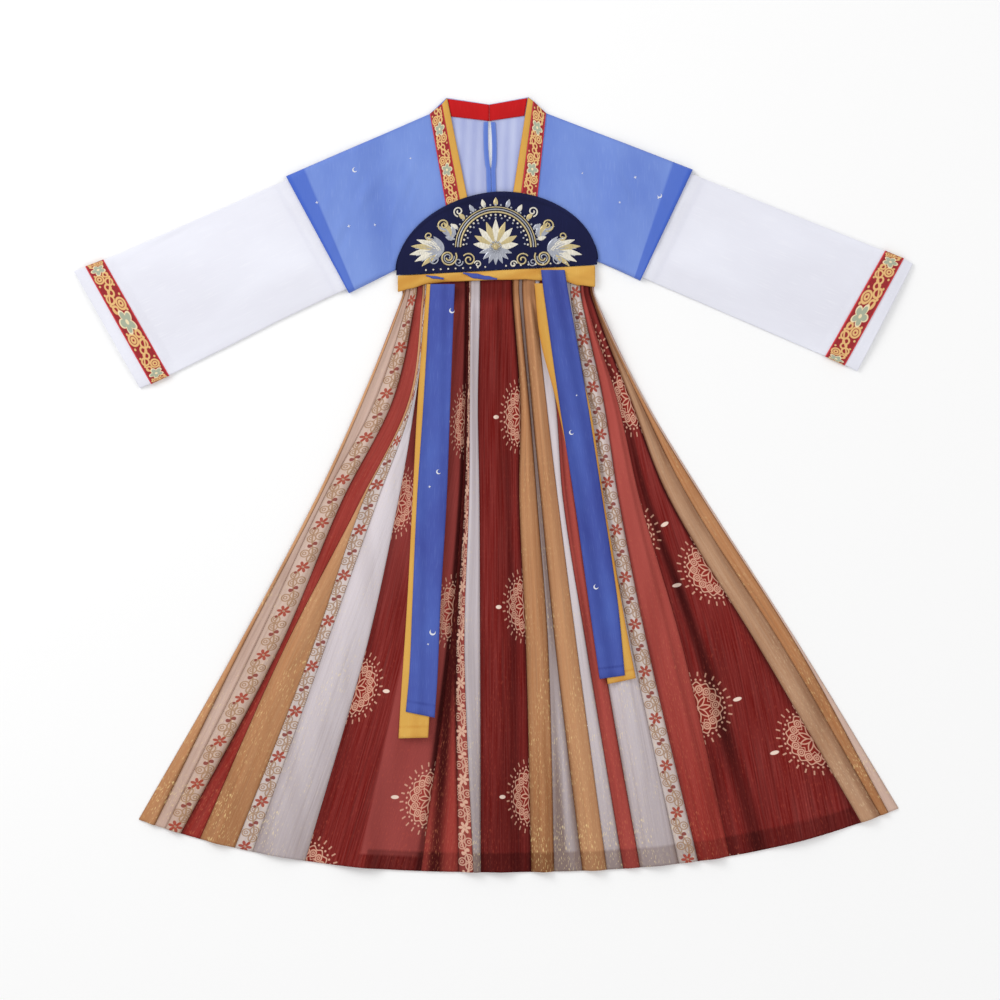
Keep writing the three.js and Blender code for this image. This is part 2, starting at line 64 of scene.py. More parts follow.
# sheets: a grid is added, each vertex is moved to its place, and Solidify gives it a wall
def makeSheet(name, columns, rows, place, wall, node, slot, material, flat, uv=None, attributes=None,
              closed=False, restsOn=()):
    bpy.ops.object.select_all(action="DESELECT")
    bpy.ops.mesh.primitive_grid_add(x_subdivisions=columns, y_subdivisions=rows, size=2)
    sheet = bpy.context.object
    sheet.name = name
    mesh = sheet.data
    mesh.name = name
    across = [((v.co.x + 1) / 2, (1 - v.co.y) / 2) for v in mesh.vertices]
    spots = [place(s, t) for s, t in across]
    for vertex, spot in zip(mesh.vertices, spots):
        vertex.co = Vector(spot) * mm
    for key, rule in (attributes or {}).items():
        mark = mesh.attributes.new(key, "FLOAT", "POINT")
        mark.data.foreach_set("value", [rule(s, t, spot) for (s, t), spot in zip(across, spots)])
    layer = mesh.uv_layers.active.data
    for loop in mesh.loops:
        s, t = across[loop.vertex_index]
        u, v = uv(s, t) if uv else (s * flat[0], t * flat[1])
        layer[loop.index].uv = (u * mm, v * mm)
    mesh.update()
    if sum(face.normal.z * face.area for face in mesh.polygons) < 0 and not closed:
        mesh.flip_normals()
    bpy.ops.object.mode_set(mode="EDIT")
    bpy.ops.mesh.select_all(action="SELECT")
    if closed:
        bpy.ops.mesh.remove_doubles(threshold=1e-6)
        bpy.ops.mesh.normals_make_consistent(inside=False)
    bpy.ops.mesh.faces_shade_smooth()
    bpy.ops.object.mode_set(mode="OBJECT")
    shell = sheet.modifiers.new("wall", "SOLIDIFY")
    shell.thickness = wall * mm
    shell.offset = -1
    bpy.ops.object.modifier_apply(modifier=shell.name)
    mesh.materials.append(material)
    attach(sheet, "root")
    if node:
        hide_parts(node)
    list(restsOn)
    return sheet


def linear(code):
    def channel(value):
        return value / 12.92 if value <= 0.04045 else ((value + 0.055) / 1.055) ** 2.4
    parts = [int(code[i:i + 2], 16) / 255 for i in (1, 3, 5)]
    return (*[channel(part) for part in parts], 1.0)


# adds one node: inputs are set or linked in their order, and "Math ADD" names a node and its operation
def put(tree, kind, *inputs, output=0, **settings):
    name, *operation = kind.split()
    item = tree.nodes.new("ShaderNode" + name)
    if operation:
        item.operation = operation[0]
    for key, value in settings.items():
        setattr(item, key, value)
    for index, value in enumerate(inputs):
        if isinstance(value, bpy.types.NodeSocket):
            tree.links.new(value, item.inputs[index])
        elif value is not None:
            item.inputs[index].default_value = linear(value) if isinstance(value, str) else value
    return item.outputs[output]


def clothMaterial(name, roughness=0.75, sheen=0.06, specular=0.2):
    material = bpy.data.materials.new(name)
    material.use_nodes = True
    shader = material.node_tree.nodes["Principled BSDF"]
    shader.inputs["Roughness"].default_value = roughness
    shader.inputs["Sheen Weight"].default_value = sheen
    shader.inputs["Sheen Roughness"].default_value = 0.5
    shader.inputs["Specular IOR Level"].default_value = specular
    return material, material.node_tree, shader


def finishMaterial(tree, shader, colour, height=None, distance=0.0002, strength=0.5):
    tree.links.new(colour, shader.inputs["Base Color"])
    if height is not None:
        bump = put(tree, "Bump", strength, distance, None, height)
        tree.links.new(bump, shader.inputs["Normal"])


# lays one colour over another through a mask
def blend(tree, mask, under, over, how="MIX"):
    unused = [None] * 5
    return put(tree, "Mix", mask, *unused, under, over, output=2, data_type="RGBA", blend_type=how)


def uvSpot(tree):
    metres = put(tree, "TexCoord", output=2)
    return put(tree, "Mapping", metres, None, None, (1000, 1000, 1000))


# a mask: 1 where the value is under the edge, fading out over the soft width
def band(tree, value, edge, soft):
    return put(tree, "MapRange", value, edge - soft, edge + soft, 1.0, 0.0,
               interpolation_type="SMOOTHSTEP", clamp=True)


def reachOf(tree, x, y):
    return put(tree, "Math SQRT", put(tree, "Math ADD", put(tree, "Math MULTIPLY", x, x),
                                      put(tree, "Math MULTIPLY", y, y)))


# soft grain in the cloth: the scale is in features for each millimetre, across and along
def grainOn(tree, spot, across, along, detail=2.0):
    stretched = put(tree, "Mapping", spot, None, None, (across, along, 1))
    return put(tree, "TexNoise", stretched, None, 1.0, detail)


# plain weave, thread spacing drawn at 1.1 mm so that it shows; real chiffon is about 0.3 mm
def weaveHeight(tree, spot, pitch=1.1):
    x, y = [put(tree, "SeparateXYZ", spot, output=k) for k in (0, 1)]
    warp = put(tree, "Math SINE", put(tree, "Math MULTIPLY", x, 2 * math.pi / pitch))
    weft = put(tree, "Math SINE", put(tree, "Math MULTIPLY", y, 2 * math.pi / pitch))
    return put(tree, "Math MULTIPLY", warp, weft)


chiffonLook = {
    "blue": ("#7F9ADF", "#6A85D2", "#9CB0E8"),
    "ribbonBlue": ("#5269BB", "#434FA0", "#7488CF"),
    "lilac": ("#C4CBEB", "#AEB6DF", "#D6DBF4"),
    "white": ("#F1F2FC", "#E6E6F0", "#FAFAFF"),
    "yellow": ("#E4B45A", "#D5A048", "#EFC776"),
    "red": ("#DC161A", "#BB1014", "#E83638"),
    "navy": ("#191D48", "#101336", "#24295A"),
}


# dyed woven cloth: a base with slow changes of tone, a weave, painted shade where the shade attribute says,
# and, where asked, a darker doubled hem
def wovenMaterial(name, key, roughness=0.75, sheen=0.06, pitch=1.1, hemColour=None):
    material, tree, shader = clothMaterial(name, roughness, sheen)
    base, low, high = chiffonLook[key]
    spot = uvSpot(tree)
    drift = grainOn(tree, spot, 0.012, 0.006, 3.0)
    tone = blend(tree, put(tree, "MapRange", drift, 0.35, 0.7), low, base)
    fine = grainOn(tree, spot, 0.9, 0.05, 2.0)
    tone = blend(tree, put(tree, "MapRange", fine, 0.55, 0.9, 0.0, 0.45), tone, high)
    shade = put(tree, "Attribute", output=2, attribute_name="shade")
    tone = blend(tree, put(tree, "Math MULTIPLY", shade, 0.55), tone, low, "MULTIPLY")
    if hemColour:
        tone = blend(tree, put(tree, "Attribute", output=2, attribute_name="hem"), tone, hemColour)
    finishMaterial(tree, shader, tone, weaveHeight(tree, spot, pitch), 0.00012, 0.35)
    return material


blueChiffon = wovenMaterial("blueChiffonWoven", "blue", hemColour="#3E61C6")  # soft, darker where doubled
ribbonCloth = wovenMaterial("blueRibbonWoven", "ribbonBlue", 0.8)  # closer weave: deeper and flatter
lilacLining = wovenMaterial("lilacLiningWoven", "lilac")  # blue over white: pale, in soft pleats
whiteOrganza = wovenMaterial("whiteOrganzaWoven", "white", 0.6, 0.1)  # crisp and smooth, with a faint sheen
yellowCloth = wovenMaterial("yellowClothWoven", "yellow", 0.8)  # plain and matt
redBand = wovenMaterial("redCottonBandWoven", "red", 0.8)  # dense, bright and matt
navyVelvet = wovenMaterial("navyVelvetWoven", "navy", 0.9, 0.05, 0.8)  # dense and dark, with almost no shine

organzaLook = {
    "gold": {"base": "#B4774A", "deep": "#643A1E", "light": "#D2A27A", "spark": "#FFE2A0", "sparks": 0.55},
    "white": {"base": "#CBC0C5", "deep": "#84716C", "light": "#E4DCE2", "spark": "#F8E2B0", "sparks": 0.55},
    "blush": {"base": "#C9A897", "deep": "#8A6048", "light": "#DAC2B8", "spark": "#F8DDA8", "sparks": 0.5},
    "beige": {"base": "#A67450", "deep": "#6C4028", "light": "#CDA98C", "spark": "#F8DFB2", "sparks": 0.3},
    "plainRed": {"base": "#8A2018", "deep": "#420807", "light": "#B2524A",
                 "spark": "#E58A62", "sparks": 0.25},
    "rosetteRed": {"base": "#6E100C", "deep": "#280303", "light": "#A04A46",
                   "spark": "#CF5F48", "sparks": 0.22},
}


# crinkled organza: streaks run along the strip, and metallic threads catch the light in short dashes, painted
# into the colour as bright glints
def organzaGround(tree, look, spot):
    streak = grainOn(tree, spot, 0.55, 0.012, 4.0)
    tone = blend(tree, put(tree, "MapRange", streak, 0.32, 0.72), look["base"], look["light"])
    tone = blend(tree, 0.5, tone, look["base"])
    ply = grainOn(tree, spot, 0.28, 0.006, 3.0)
    tone = blend(tree, put(tree, "MapRange", ply, 0.5, 0.75, 0.0, 0.4), tone, look["deep"])
    tint = put(tree, "Attribute", output=2, attribute_name="tint")
    shade = put(tree, "Attribute", output=2, attribute_name="shade")
    tone = blend(tree, put(tree, "Clamp", tint), tone, look["light"])
    tone = blend(tree, put(tree, "Clamp", shade), tone, look["deep"])
    dash = grainOn(tree, spot, 0.75, 0.14, 3.0)
    area = grainOn(tree, spot, 0.03, 0.01, 2.0)
    lit = put(tree, "Math MULTIPLY", put(tree, "MapRange", dash, 0.57, 0.66),
               put(tree, "MapRange", area, 0.45, 0.62, 0.1, look["sparks"]))
    lit = put(tree, "Math MULTIPLY", lit, put(tree, "Attribute", output=2, attribute_name="spark"))
    tone = blend(tree, lit, tone, look["spark"])
    crinkle = grainOn(tree, spot, 0.9, 0.04, 3.0)
    return tone, put(tree, "Math ADD", crinkle, put(tree, "Math MULTIPLY", lit, 0.4))


def organzaMaterial(name, key):
    material, tree, shader = clothMaterial(name, 0.72, 0.02, 0.1)
    tone, height = organzaGround(tree, organzaLook[key], uvSpot(tree))
    finishMaterial(tree, shader, tone, height, 0.0006, 0.5)
    return material


goldOrganza = organzaMaterial("goldOrganzaCrinkled", "gold")  # tan, with pale gold thread in it
whiteCrinkle = organzaMaterial("whiteOrganzaCrinkled", "white")  # lilac white, with painted shade in the folds
blushOrganza = organzaMaterial("blushOrganzaCrinkled", "blush")  # white over gold: a warm pinkish beige
beigeOrganza = organzaMaterial("beigeOrganzaCrinkled", "beige")  # gold lying double: brown, with less glint
plainRedOrganza = organzaMaterial("redOrganzaCrinkled", "plainRed")  # deep red, pinker over white


# half rosettes printed at the strip's edges; sizes in mm from the rosette's centre
rosette = {
    "period": 256, "petals": 8, "core": 3.2, "petalReach": 17, "scrollRing": 27, "scrolls": 15,
    "scrollSize": 4.6, "rim": 39, "dots": 36, "rayIn": 45, "rayOut": 51, "rays": 26,
    "tipAt": 60, "tipLong": 6.5, "tipWide": 2.6, "line": 0.95,
    "ink": "#E2B097", "fill": "#A02A1C", "tip": "#F0D8C8",
}


def rosetteInk(tree, u, v):
    r = rosette
    line = r["line"]
    radius = reachOf(tree, u, v)
    turn = put(tree, "Math ARCTAN2", v, u)

    def around(count, offset=0.0):
        # distance round the ring from the nearest of count marks, in turns of one mark, and signed
        share = put(tree, "Math MULTIPLY_ADD", turn, count / (2 * math.pi), 0.5 + offset)
        return put(tree, "Math SUBTRACT", put(tree, "Math FRACT", share), 0.5)

    def near(value, at, half):
        return band(tree, put(tree, "Math ABSOLUTE", put(tree, "Math SUBTRACT", value, at)), half, line * 0.5)

    parts = []
    petal = around(r["petals"])
    wide = put(tree, "Math MULTIPLY", put(tree, "Math ABSOLUTE", petal), radius)
    mid = put(tree, "Math SUBTRACT", radius, r["petalReach"] * 0.58)
    almond = put(tree, "Math MULTIPLY_ADD", put(tree, "Math MULTIPLY", mid, mid), -0.035, 3.1)
    shape = put(tree, "Math SUBTRACT", put(tree, "Math MULTIPLY", wide, 0.8), almond)
    parts.append(near(shape, 0.0, line))
    parts.append(band(tree, radius, r["core"], 0.5))
    ringStep = 2 * math.pi * r["scrollRing"] / r["scrolls"]
    sx = put(tree, "Math MULTIPLY", around(r["scrolls"]), ringStep)
    sy = put(tree, "Math SUBTRACT", radius, r["scrollRing"])
    scroll = reachOf(tree, sx, sy)
    parts.append(near(scroll, r["scrollSize"], line))
    parts.append(near(scroll, r["scrollSize"] * 0.4, line * 0.8))
    lobes = put(tree, "Math COSINE", put(tree, "Math MULTIPLY", turn, r["petals"] * 2.0))
    wave = put(tree, "Math MULTIPLY", lobes, 1.8)
    parts.append(near(put(tree, "Math ADD", radius, wave), r["rim"] - 4, line))
    parts.append(near(put(tree, "Math ADD", radius, wave), r["petalReach"] + 3, line * 0.8))
    dx = put(tree, "Math MULTIPLY", around(r["dots"]), 2 * math.pi * r["rim"] / r["dots"])
    dy = put(tree, "Math SUBTRACT", radius, r["rim"] + 1)
    dot = reachOf(tree, dx, dy)
    parts.append(band(tree, dot, 1.5, 0.4))
    rx = put(tree, "Math MULTIPLY", put(tree, "Math ABSOLUTE", around(r["rays"], 0.5)), radius)
    ray = put(tree, "Math MULTIPLY", band(tree, rx, 4.6, 1.0),
               near(radius, (r["rayIn"] + r["rayOut"]) / 2, (r["rayOut"] - r["rayIn"]) / 2))
    parts.append(put(tree, "Math MULTIPLY", ray, 0.8))
    tipU = put(tree, "Math DIVIDE", put(tree, "Math SUBTRACT", u, r["tipAt"]), r["tipLong"])
    tipV = put(tree, "Math DIVIDE", v, r["tipWide"])
    tip = reachOf(tree, tipU, tipV)
    tipMask = band(tree, tip, 1.0, 0.15)
    ink = parts[0]
    for part in parts[1:]:
        ink = put(tree, "Math MAXIMUM", ink, part)
    ground = band(tree, radius, r["rim"] - 5, 1.5)
    return ink, tipMask, ground


# the print repeats down both edges, each from its own start; attributes hold the distance from each edge
def rosetteMaterial():
    material, tree, shader = clothMaterial("redOrganzaPrinted", 0.75, 0.0, 0.08)
    spot = uvSpot(tree)
    tone, height = organzaGround(tree, organzaLook["rosetteRed"], spot)
    for edge, row in (("fromLeft", "downLeft"), ("fromRight", "downRight")):
        u = put(tree, "Math MULTIPLY", put(tree, "Attribute", output=2, attribute_name=edge), 1000.0)
        down = put(tree, "Attribute", output=2, attribute_name=row)
        share = put(tree, "Math FRACT", put(tree, "Math MULTIPLY", down, 1000.0 / rosette["period"]))
        v = put(tree, "Math MULTIPLY", put(tree, "Math SUBTRACT", share, 0.5), rosette["period"])
        ink, tip, ground = rosetteInk(tree, u, v)
        tone = blend(tree, put(tree, "Math MULTIPLY", ground, 0.4), tone, rosette["fill"])
        tone = blend(tree, put(tree, "Math MULTIPLY", ink, 0.85), tone, rosette["ink"])
        tone = blend(tree, tip, tone, rosette["tip"])
    shade = put(tree, "Clamp", put(tree, "Attribute", output=2, attribute_name="shade"))
    tone = blend(tree, put(tree, "Math MULTIPLY", shade, 0.45), tone, "#3E0A0B")
    finishMaterial(tree, shader, tone, height, 0.0006, 0.5)
    return material


rosetteRed = rosetteMaterial()  # printed in pale gold-pink on dark red

# small flowers on a vine, printed down a white strip; sizes in mm
floral = {
    "period": 65, "flower": 9.2, "bud": 3.0, "vine": 1.1, "sway": 4.6, "curl": 5.0,
    "flowerInk": "#A03822", "budInk": "#82281C", "vineInk": "#9A7048",
    "paleInk": "#E0B49C",
}


def floralMaterial(name, groundKey, ground, strength=1.0, inks=("flowerInk", "budInk", "vineInk")):
    material, tree, shader = clothMaterial(name, 0.65, 0.05, 0.25)
    f = floral
    spot = uvSpot(tree)
    look = dict(organzaLook[groundKey], base=ground)
    tone, height = organzaGround(tree, look, spot)
    down = put(tree, "SeparateXYZ", spot, output=1)
    u = put(tree, "Math MULTIPLY", put(tree, "Attribute", output=2, attribute_name="fromMiddle"), 1000.0)
    share = put(tree, "Math FRACT", put(tree, "Math DIVIDE", down, f["period"]))
    v = put(tree, "Math MULTIPLY", put(tree, "Math SUBTRACT", share, 0.5), f["period"])
    angle = put(tree, "Math MULTIPLY", share, 2 * math.pi)

    def distance(du, dv):
        a = put(tree, "Math SUBTRACT", u, du)
        b = put(tree, "Math SUBTRACT", v, dv)
        return reachOf(tree, a, b)

    def ring(du, dv, size, half):
        off = put(tree, "Math SUBTRACT", distance(du, dv), size)
        return band(tree, put(tree, "Math ABSOLUTE", off), half, 0.35)

    sway = put(tree, "Math MULTIPLY", put(tree, "Math SINE", angle), f["sway"])
    vine = band(tree, put(tree, "Math ABSOLUTE", put(tree, "Math SUBTRACT", u, sway)), f["vine"], 0.4)
    for du, dv in ((-4.5, -19), (4.5, 19), (4.2, -24), (-4.2, 24), (-5, 13), (5, -13)):
        vine = put(tree, "Math MAXIMUM", vine, ring(du, dv, f["curl"], f["vine"] * 0.7))
        vine = put(tree, "Math MAXIMUM", vine, ring(du * 1.15, dv, f["curl"] * 0.4, f["vine"] * 0.6))
    tone = blend(tree, put(tree, "Math MULTIPLY", vine, 0.75 * strength), tone, f[inks[2]])
    radius = distance(0, 0)
    turn = put(tree, "Math ARCTAN2", v, u)
    lobes = put(tree, "Math ABSOLUTE", put(tree, "Math COSINE", put(tree, "Math MULTIPLY", turn, 3.0)))
    reach = put(tree, "Math MULTIPLY_ADD", lobes, f["flower"] * 0.62, f["flower"] * 0.3)
    petals = put(tree, "Math MULTIPLY", band(tree, put(tree, "Math SUBTRACT", radius, reach), 0.0, 0.5),
                  put(tree, "Math SUBTRACT", 1.0, band(tree, radius, 1.5, 0.4)))
    tone = blend(tree, put(tree, "Math MULTIPLY", petals, 0.92 * strength), tone, f[inks[0]])
    bud = band(tree, distance(2.5, 30.5), f["bud"], 0.5)
    bud = put(tree, "Math MAXIMUM", bud, band(tree, distance(-2.5, -30.5), f["bud"], 0.5))
    bud = put(tree, "Math MAXIMUM", bud, band(tree, distance(-6, 9), f["bud"] * 0.6, 0.4))
    tone = blend(tree, put(tree, "Math MULTIPLY", bud, 0.9 * strength), tone, f[inks[1]])
    finishMaterial(tree, shader, tone, height, 0.0005, 0.4)
    return material


floralOrganza = floralMaterial("floralOrganzaPrinted", "white", "#CFBDB2")
scrollOrganza = floralMaterial("scrollOrganzaPrinted", "plainRed", "#8A3228", 1.0, ("paleInk",) * 3)

# woven ribbon: gold scrolls and grey-green flowers on red, a flower every 57 mm
jacquardLook = {
    "period": 57, "ground": "#A81E26", "edge": "#D8343C", "gold": "#E6B878", "flower": "#A7AE97",
    "petal": 9.0, "thread": 1.05, "half": 12.5,
}


def jacquardMaterial():
    material, tree, shader = clothMaterial("redJacquardRibbonWoven", 0.6, 0.05, 0.35)
    j = jacquardLook
    spot = uvSpot(tree)
    u, v0 = [put(tree, "SeparateXYZ", spot, output=k) for k in (0, 1)]
    share = put(tree, "Math FRACT", put(tree, "Math DIVIDE", v0, j["period"]))
    v = put(tree, "Math MULTIPLY", put(tree, "Math SUBTRACT", share, 0.5), j["period"])

    def distance(du, dv):
        a = put(tree, "Math SUBTRACT", u, du)
        b = put(tree, "Math SUBTRACT", v, dv)
        return reachOf(tree, a, b)

    gold = None
    for side in (-1, 1):
        for du, dv, size in ((4.6, 14, 5.0), (4.6, 14, 2.2), (-4.8, 20, 4.2), (-5, 10.5, 3.0),
                             (0, 25.5, 3.4)):
            off = put(tree, "Math SUBTRACT", distance(du * side, dv * side), size)
            line = put(tree, "Math ABSOLUTE", off)
            mark = band(tree, line, j["thread"], 0.35)
            gold = mark if gold is None else put(tree, "Math MAXIMUM", gold, mark)
        for du, dv in ((8.2, 8), (-8.4, 15), (8.6, 22), (-1, 17.5), (-8.6, 25)):
            gold = put(tree, "Math MAXIMUM", gold, band(tree, distance(du * side, dv * side), 1.3, 0.3))
    angle = put(tree, "Math MULTIPLY", share, 2 * math.pi)
    sway = put(tree, "Math MULTIPLY", put(tree, "Math SINE", angle), 7.5)
    vine = band(tree, put(tree, "Math ABSOLUTE", put(tree, "Math SUBTRACT", u, sway)), 1.0, 0.4)
    gold = put(tree, "Math MAXIMUM", gold, vine)
    turn = put(tree, "Math ARCTAN2", v, u)
    radius = distance(0, 0)
    lobes = put(tree, "Math ABSOLUTE", put(tree, "Math COSINE", put(tree, "Math MULTIPLY", turn, 2.5)))
    reach = put(tree, "Math MULTIPLY_ADD", lobes, j["petal"] * 0.45, j["petal"] * 0.55)
    gap = put(tree, "Math SUBTRACT", radius, reach)
    flower = band(tree, gap, 0.0, 0.4)
    outline = band(tree, put(tree, "Math ABSOLUTE", gap), 0.8, 0.3)
    eye = band(tree, radius, 1.8, 0.4)
    edge = band(tree, put(tree, "Math SUBTRACT", j["half"], put(tree, "Math ABSOLUTE", u)), 1.3, 0.3)
    grain = grainOn(tree, spot, 0.8, 0.8)
    tone = blend(tree, put(tree, "MapRange", grain, 0.3, 0.8), j["ground"], "#7E141C")
    tone = blend(tree, gold, tone, j["gold"])
    tone = blend(tree, flower, tone, j["flower"])
    tone = blend(tree, put(tree, "Math MAXIMUM", outline, eye), tone, "#F0DDB4")
    tone = blend(tree, edge, tone, j["edge"])
    threads = put(tree, "Math MULTIPLY", grain, 0.3)
    raised = put(tree, "Math MAXIMUM", put(tree, "Math MAXIMUM", gold, flower), threads)
    finishMaterial(tree, shader, tone, raised, 0.0005, 0.7)
    return material


jacquard = jacquardMaterial()
print("materials made")

# sizes as in the construction; each layer's height is that of its top face
layer = {"back": 0.9, "front": 2.1, "collar": 3.6, "chest": 5.6, "sash": 6.4, "twist": 7.7}
waist = {"leftX": -130, "leftY": 282, "rise": 0.0525}
skirt = {"waistY": 255, "hipY": 114, "thighY": -21, "shinY": -223, "tuck": 2.5, "row": 3.4, "column": 2.6,
         "length": 790, "wall": 0.55, "crinkle": 1.12, "ease": 1.02, "leastFill": 0.31, "seamDip": 0.5}
hem = {"lowX": -5, "lowY": -523, "left": (474, 71, 2.4), "right": (552, 86, 2.6)}
strips = [
    # name, cloth, left seam at the waist, hip, thigh, shin and hem
    ("gold_side_left", "gold", -123, -179, -241, -348, -479),
    ("white_side_left", "blush", -120, -175, -236, -341, -457),
    ("floral_left", "floralBlush", -114, -159, -230, -324, -443),
    ("red_left", "plainRed", -104, -136, -204, -290, -422),
    ("gold_left", "gold", -96, -114, -179, -283, -396),
    ("floral_left_inner", "floral", -93, -111, -175, -245, -349),
    ("white_left", "white", -90, -108, -156, -228, -325),
    ("medallion_left", "rosette", -87, -105, -128, -172, -254),
    ("red_fold", "plainRed", -36, -38, -43, -59, -98),
    ("scroll_print", "scroll", -33, -35, -39, -50, -47),
    ("white_centre", "white", -31, -32, -33, -39, -27),
    ("medallion_centre", "rosette", -18, -21, -19, -18, -17),
    ("gold_centre", "gold", 26, 36, 35, 44, 51),
    ("white_fold", "white", 35, 48, 59, 74, 82),
    ("gold_centre_right", "gold", 39, 51, 64, 84, 120),
    ("white_right", "white", 57, 71, 87, 113, 153),
    ("red_right", "plainRed", 63, 84, 94, 126, 175),
    ("white_right_outer", "white", 79, 98, 120, 147, 198),
    ("floral_right", "floral", 104, 126, 147, 187, 250),
    ("orange_right", "plainRed", 118, 148, 169, 209, 276),
    ("medallion_right", "rosette", 123, 167, 198, 256, 319),
    ("beige_right", "beige", 132, 185, 238, 360, 496),
    ("gold_side_right", "gold", 133, 197, 265, 393, 522),
    ("white_side_right", "blush", 135, 202, 284, 413, 533),
    ("side_fold", None, 137, 205, 287, 417, 547),
]
folds = [
    # crest counted in strips, height at the waist and at the hem, reach left and right at the hem
    (0.8, 3, 4, 12, 20), (2.7, 6, 5, 26, 12), (4.4, 4, 7, 14, 34), (6.5, 5, 5, 40, 45),
    (7.5, 8, 8, 60, 36), (10.1, 8, 8, 22, 18), (11.4, 9, 7, 30, 26), (12.6, 7, 8, 20, 14),
    (14.5, 8, 8, 16, 24), (16.5, 6, 4, 14, 16), (17.5, 6, 6, 32, 30), (18.6, 8, 5, 16, 18),
    (19.6, 6, 8, 28, 14), (20.55, 2, 5, 60, 80), (21.4, 4, 6, 26, 24), (22.6, 3, 3, 14, 10),
]
foldTaper = 0.3
press = {"share": 0.15, "above": 256, "below": 224}
# soft creases, given one by one: start x, y, end x, y, height (minus is a trough) and half width
creases = [
    (-342, -253, -407, -352, -2.4, 9), (-261, -169, -308, -277, -2.0, 8), (-221, -183, -281, -264, -1.8, 10),
    (-150, 60, -250, -150, 1.6, 9), (-190, -120, -330, -420, 1.5, 11), (-120, -60, -190, -330, -1.4, 10),
    (-70, -380, -92, -520, -3.0, 14), (-150, -380, -178, -515, 1.4, 12), (5, 180, 8, -60, -1.6, 7),
    (16, 60, 22, -270, -2.2, 9), (-8, -120, -6, -420, 1.4, 8), (46, 100, 66, -210, -2.2, 6),
    (60, -230, 92, -520, -3.2, 12), (100, -60, 142, -360, 1.3, 8), (160, -150, 214, -480, 1.5, 12),
    (185, 70, 262, -140, -2.6, 9), (268, -150, 336, -470, -1.6, 14), (300, -120, 420, -380, 1.8, 16),
    (240, 20, 380, -230, 1.6, 10), (400, -230, 500, -400, -1.5, 9), (-60, 200, -62, 20, 1.5, 6),
    (-250, -240, -330, -420, 1.3, 7), (-330, -300, -420, -440, 1.4, 8), (-40, 60, -52, -260, -2.0, 7),
    (170, 60, 215, -120, 1.5, 7), (150, -150, 190, -330, -1.2, 6), (330, -200, 450, -410, -1.3, 10),
    (28, 60, 34, -300, 1.2, 6), (75, -120, 108, -420, 1.4, 6), (210, -40, 290, -330, 1.3, 12),
]
# painted shade: dark lines where the cloth turns down between two folds: strip count, strength down the line,
# width
shadeLines = [
    (8.35, (1.0, 1.0, 1.0, 0.9, 0.75), 4, 18), (13.25, (1.0, 0.8, 0.55, 0.5, 0.75), 3, 13),
    (11.72, (0.1, 0.3, 0.45, 0.35, 0.2), 6, 14), (20.22, (0.2, 0.5, 0.75, 0.6, 0.35), 3, 22),
    (0.98, (0.1, 0.2, 0.3, 0.5, 0.25), 2, 6), (21.85, (0.3, 0.45, 0.3, 0.35, 0.5), 4, 10),
    (3.05, (0.4, 0.3, 0.25, 0.6, 0.3), 3, 8), (12.02, (0.7, 0.5, 0.35, 0.25, 0.2), 4, 6),
    (9.0, (0.6, 0.5, 0.5, 0.7, 0.2), 3, 6), (13.95, (0.6, 0.5, 0.5, 0.5, 0.35), 3, 10),
    (15.9, (0.2, 0.3, 0.3, 0.25, 0.15), 3, 6), (7.98, (0.5, 0.4, 0.4, 0.6, 0.3), 3, 7),
    (19.02, (0.4, 0.3, 0.25, 0.2, 0.2), 3, 6), (21.0, (0.8, 0.75, 0.4, 0.2, 0.15), 4, 8),
    (17.0, (0.5, 0.45, 0.5, 0.3, 0.2), 3, 6), (16.2, (0.3, 0.6, 0.4, 0.2, 0.1), 3, 6),
]
levels = (skirt["waistY"], skirt["hipY"], skirt["thighY"], skirt["shinY"], hem["lowY"])


def waistY(x):
    return waist["leftY"] + waist["rise"] * (x - waist["leftX"])


def hemY(x):
    reach, rise, power = hem["left"] if x < hem["lowX"] else hem["right"]
    return hem["lowY"] + rise * (abs(x - hem["lowX"]) / reach) ** power


def lineAt(knots, y):
    k = 0
    while k < len(knots) - 2 and y < knots[k + 1][1]:
        k += 1

    def slope(n):
        above, below = knots[max(n - 1, 0)], knots[min(n + 1, len(knots) - 1)]
        return (below[0] - above[0]) / (below[1] - above[1])
    span = knots[k + 1][1] - knots[k][1]
    f = (y - knots[k][1]) / span
    rest = 1 - f
    return (knots[k][0] * (1 + 2 * f) * rest * rest + knots[k + 1][0] * (3 - 2 * f) * f * f
            + slope(k) * span * f * rest * rest - slope(k + 1) * span * f * f * rest)


def goreLine(a, b, f, tuck=skirt["tuck"]):
    at = [mix(p, q, f) for p, q in zip(a[2:], b[2:])]
    knots = [(at[0], waistY(at[0]) - tuck)]
    knots += [(at[i], levels[i]) for i in range(4)]
    return knots + [(at[4], hemY(at[4]))]


def goreThrough(crest):
    n = min(int(crest), len(strips) - 2)
    return goreLine(strips[n], strips[n + 1], crest - n)


foldLines = [(goreThrough(fold[0]), *fold[1:]) for fold in folds]
shadeKnots = [(goreThrough(row[0]), *row[1:]) for row in shadeLines]
lineCache = {}


def cachedLine(knots, y):
    key = (id(knots), round(y, 1))
    if key not in lineCache:
        lineCache[key] = lineAt(knots, key[1])
    return lineCache[key]


def downShare(y):
    return clamp((skirt["waistY"] - y) / (skirt["waistY"] - hem["lowY"]))


def foldHeight(x, y):
    t = downShare(y)
    held = mix(press["share"], 1, 1 - ease(y, press["below"], press["above"]))
    taper = mix(foldTaper, 1, t)
    height = 0.0
    for knots, atWaist, atHem, left, right in foldLines:
        off = x - cachedLine(knots, y)
        reach = (left if off < 0 else right) * taper
        if abs(off) < reach:
            height += mix(atWaist, atHem, t) * bell(off / reach)
    return height * held


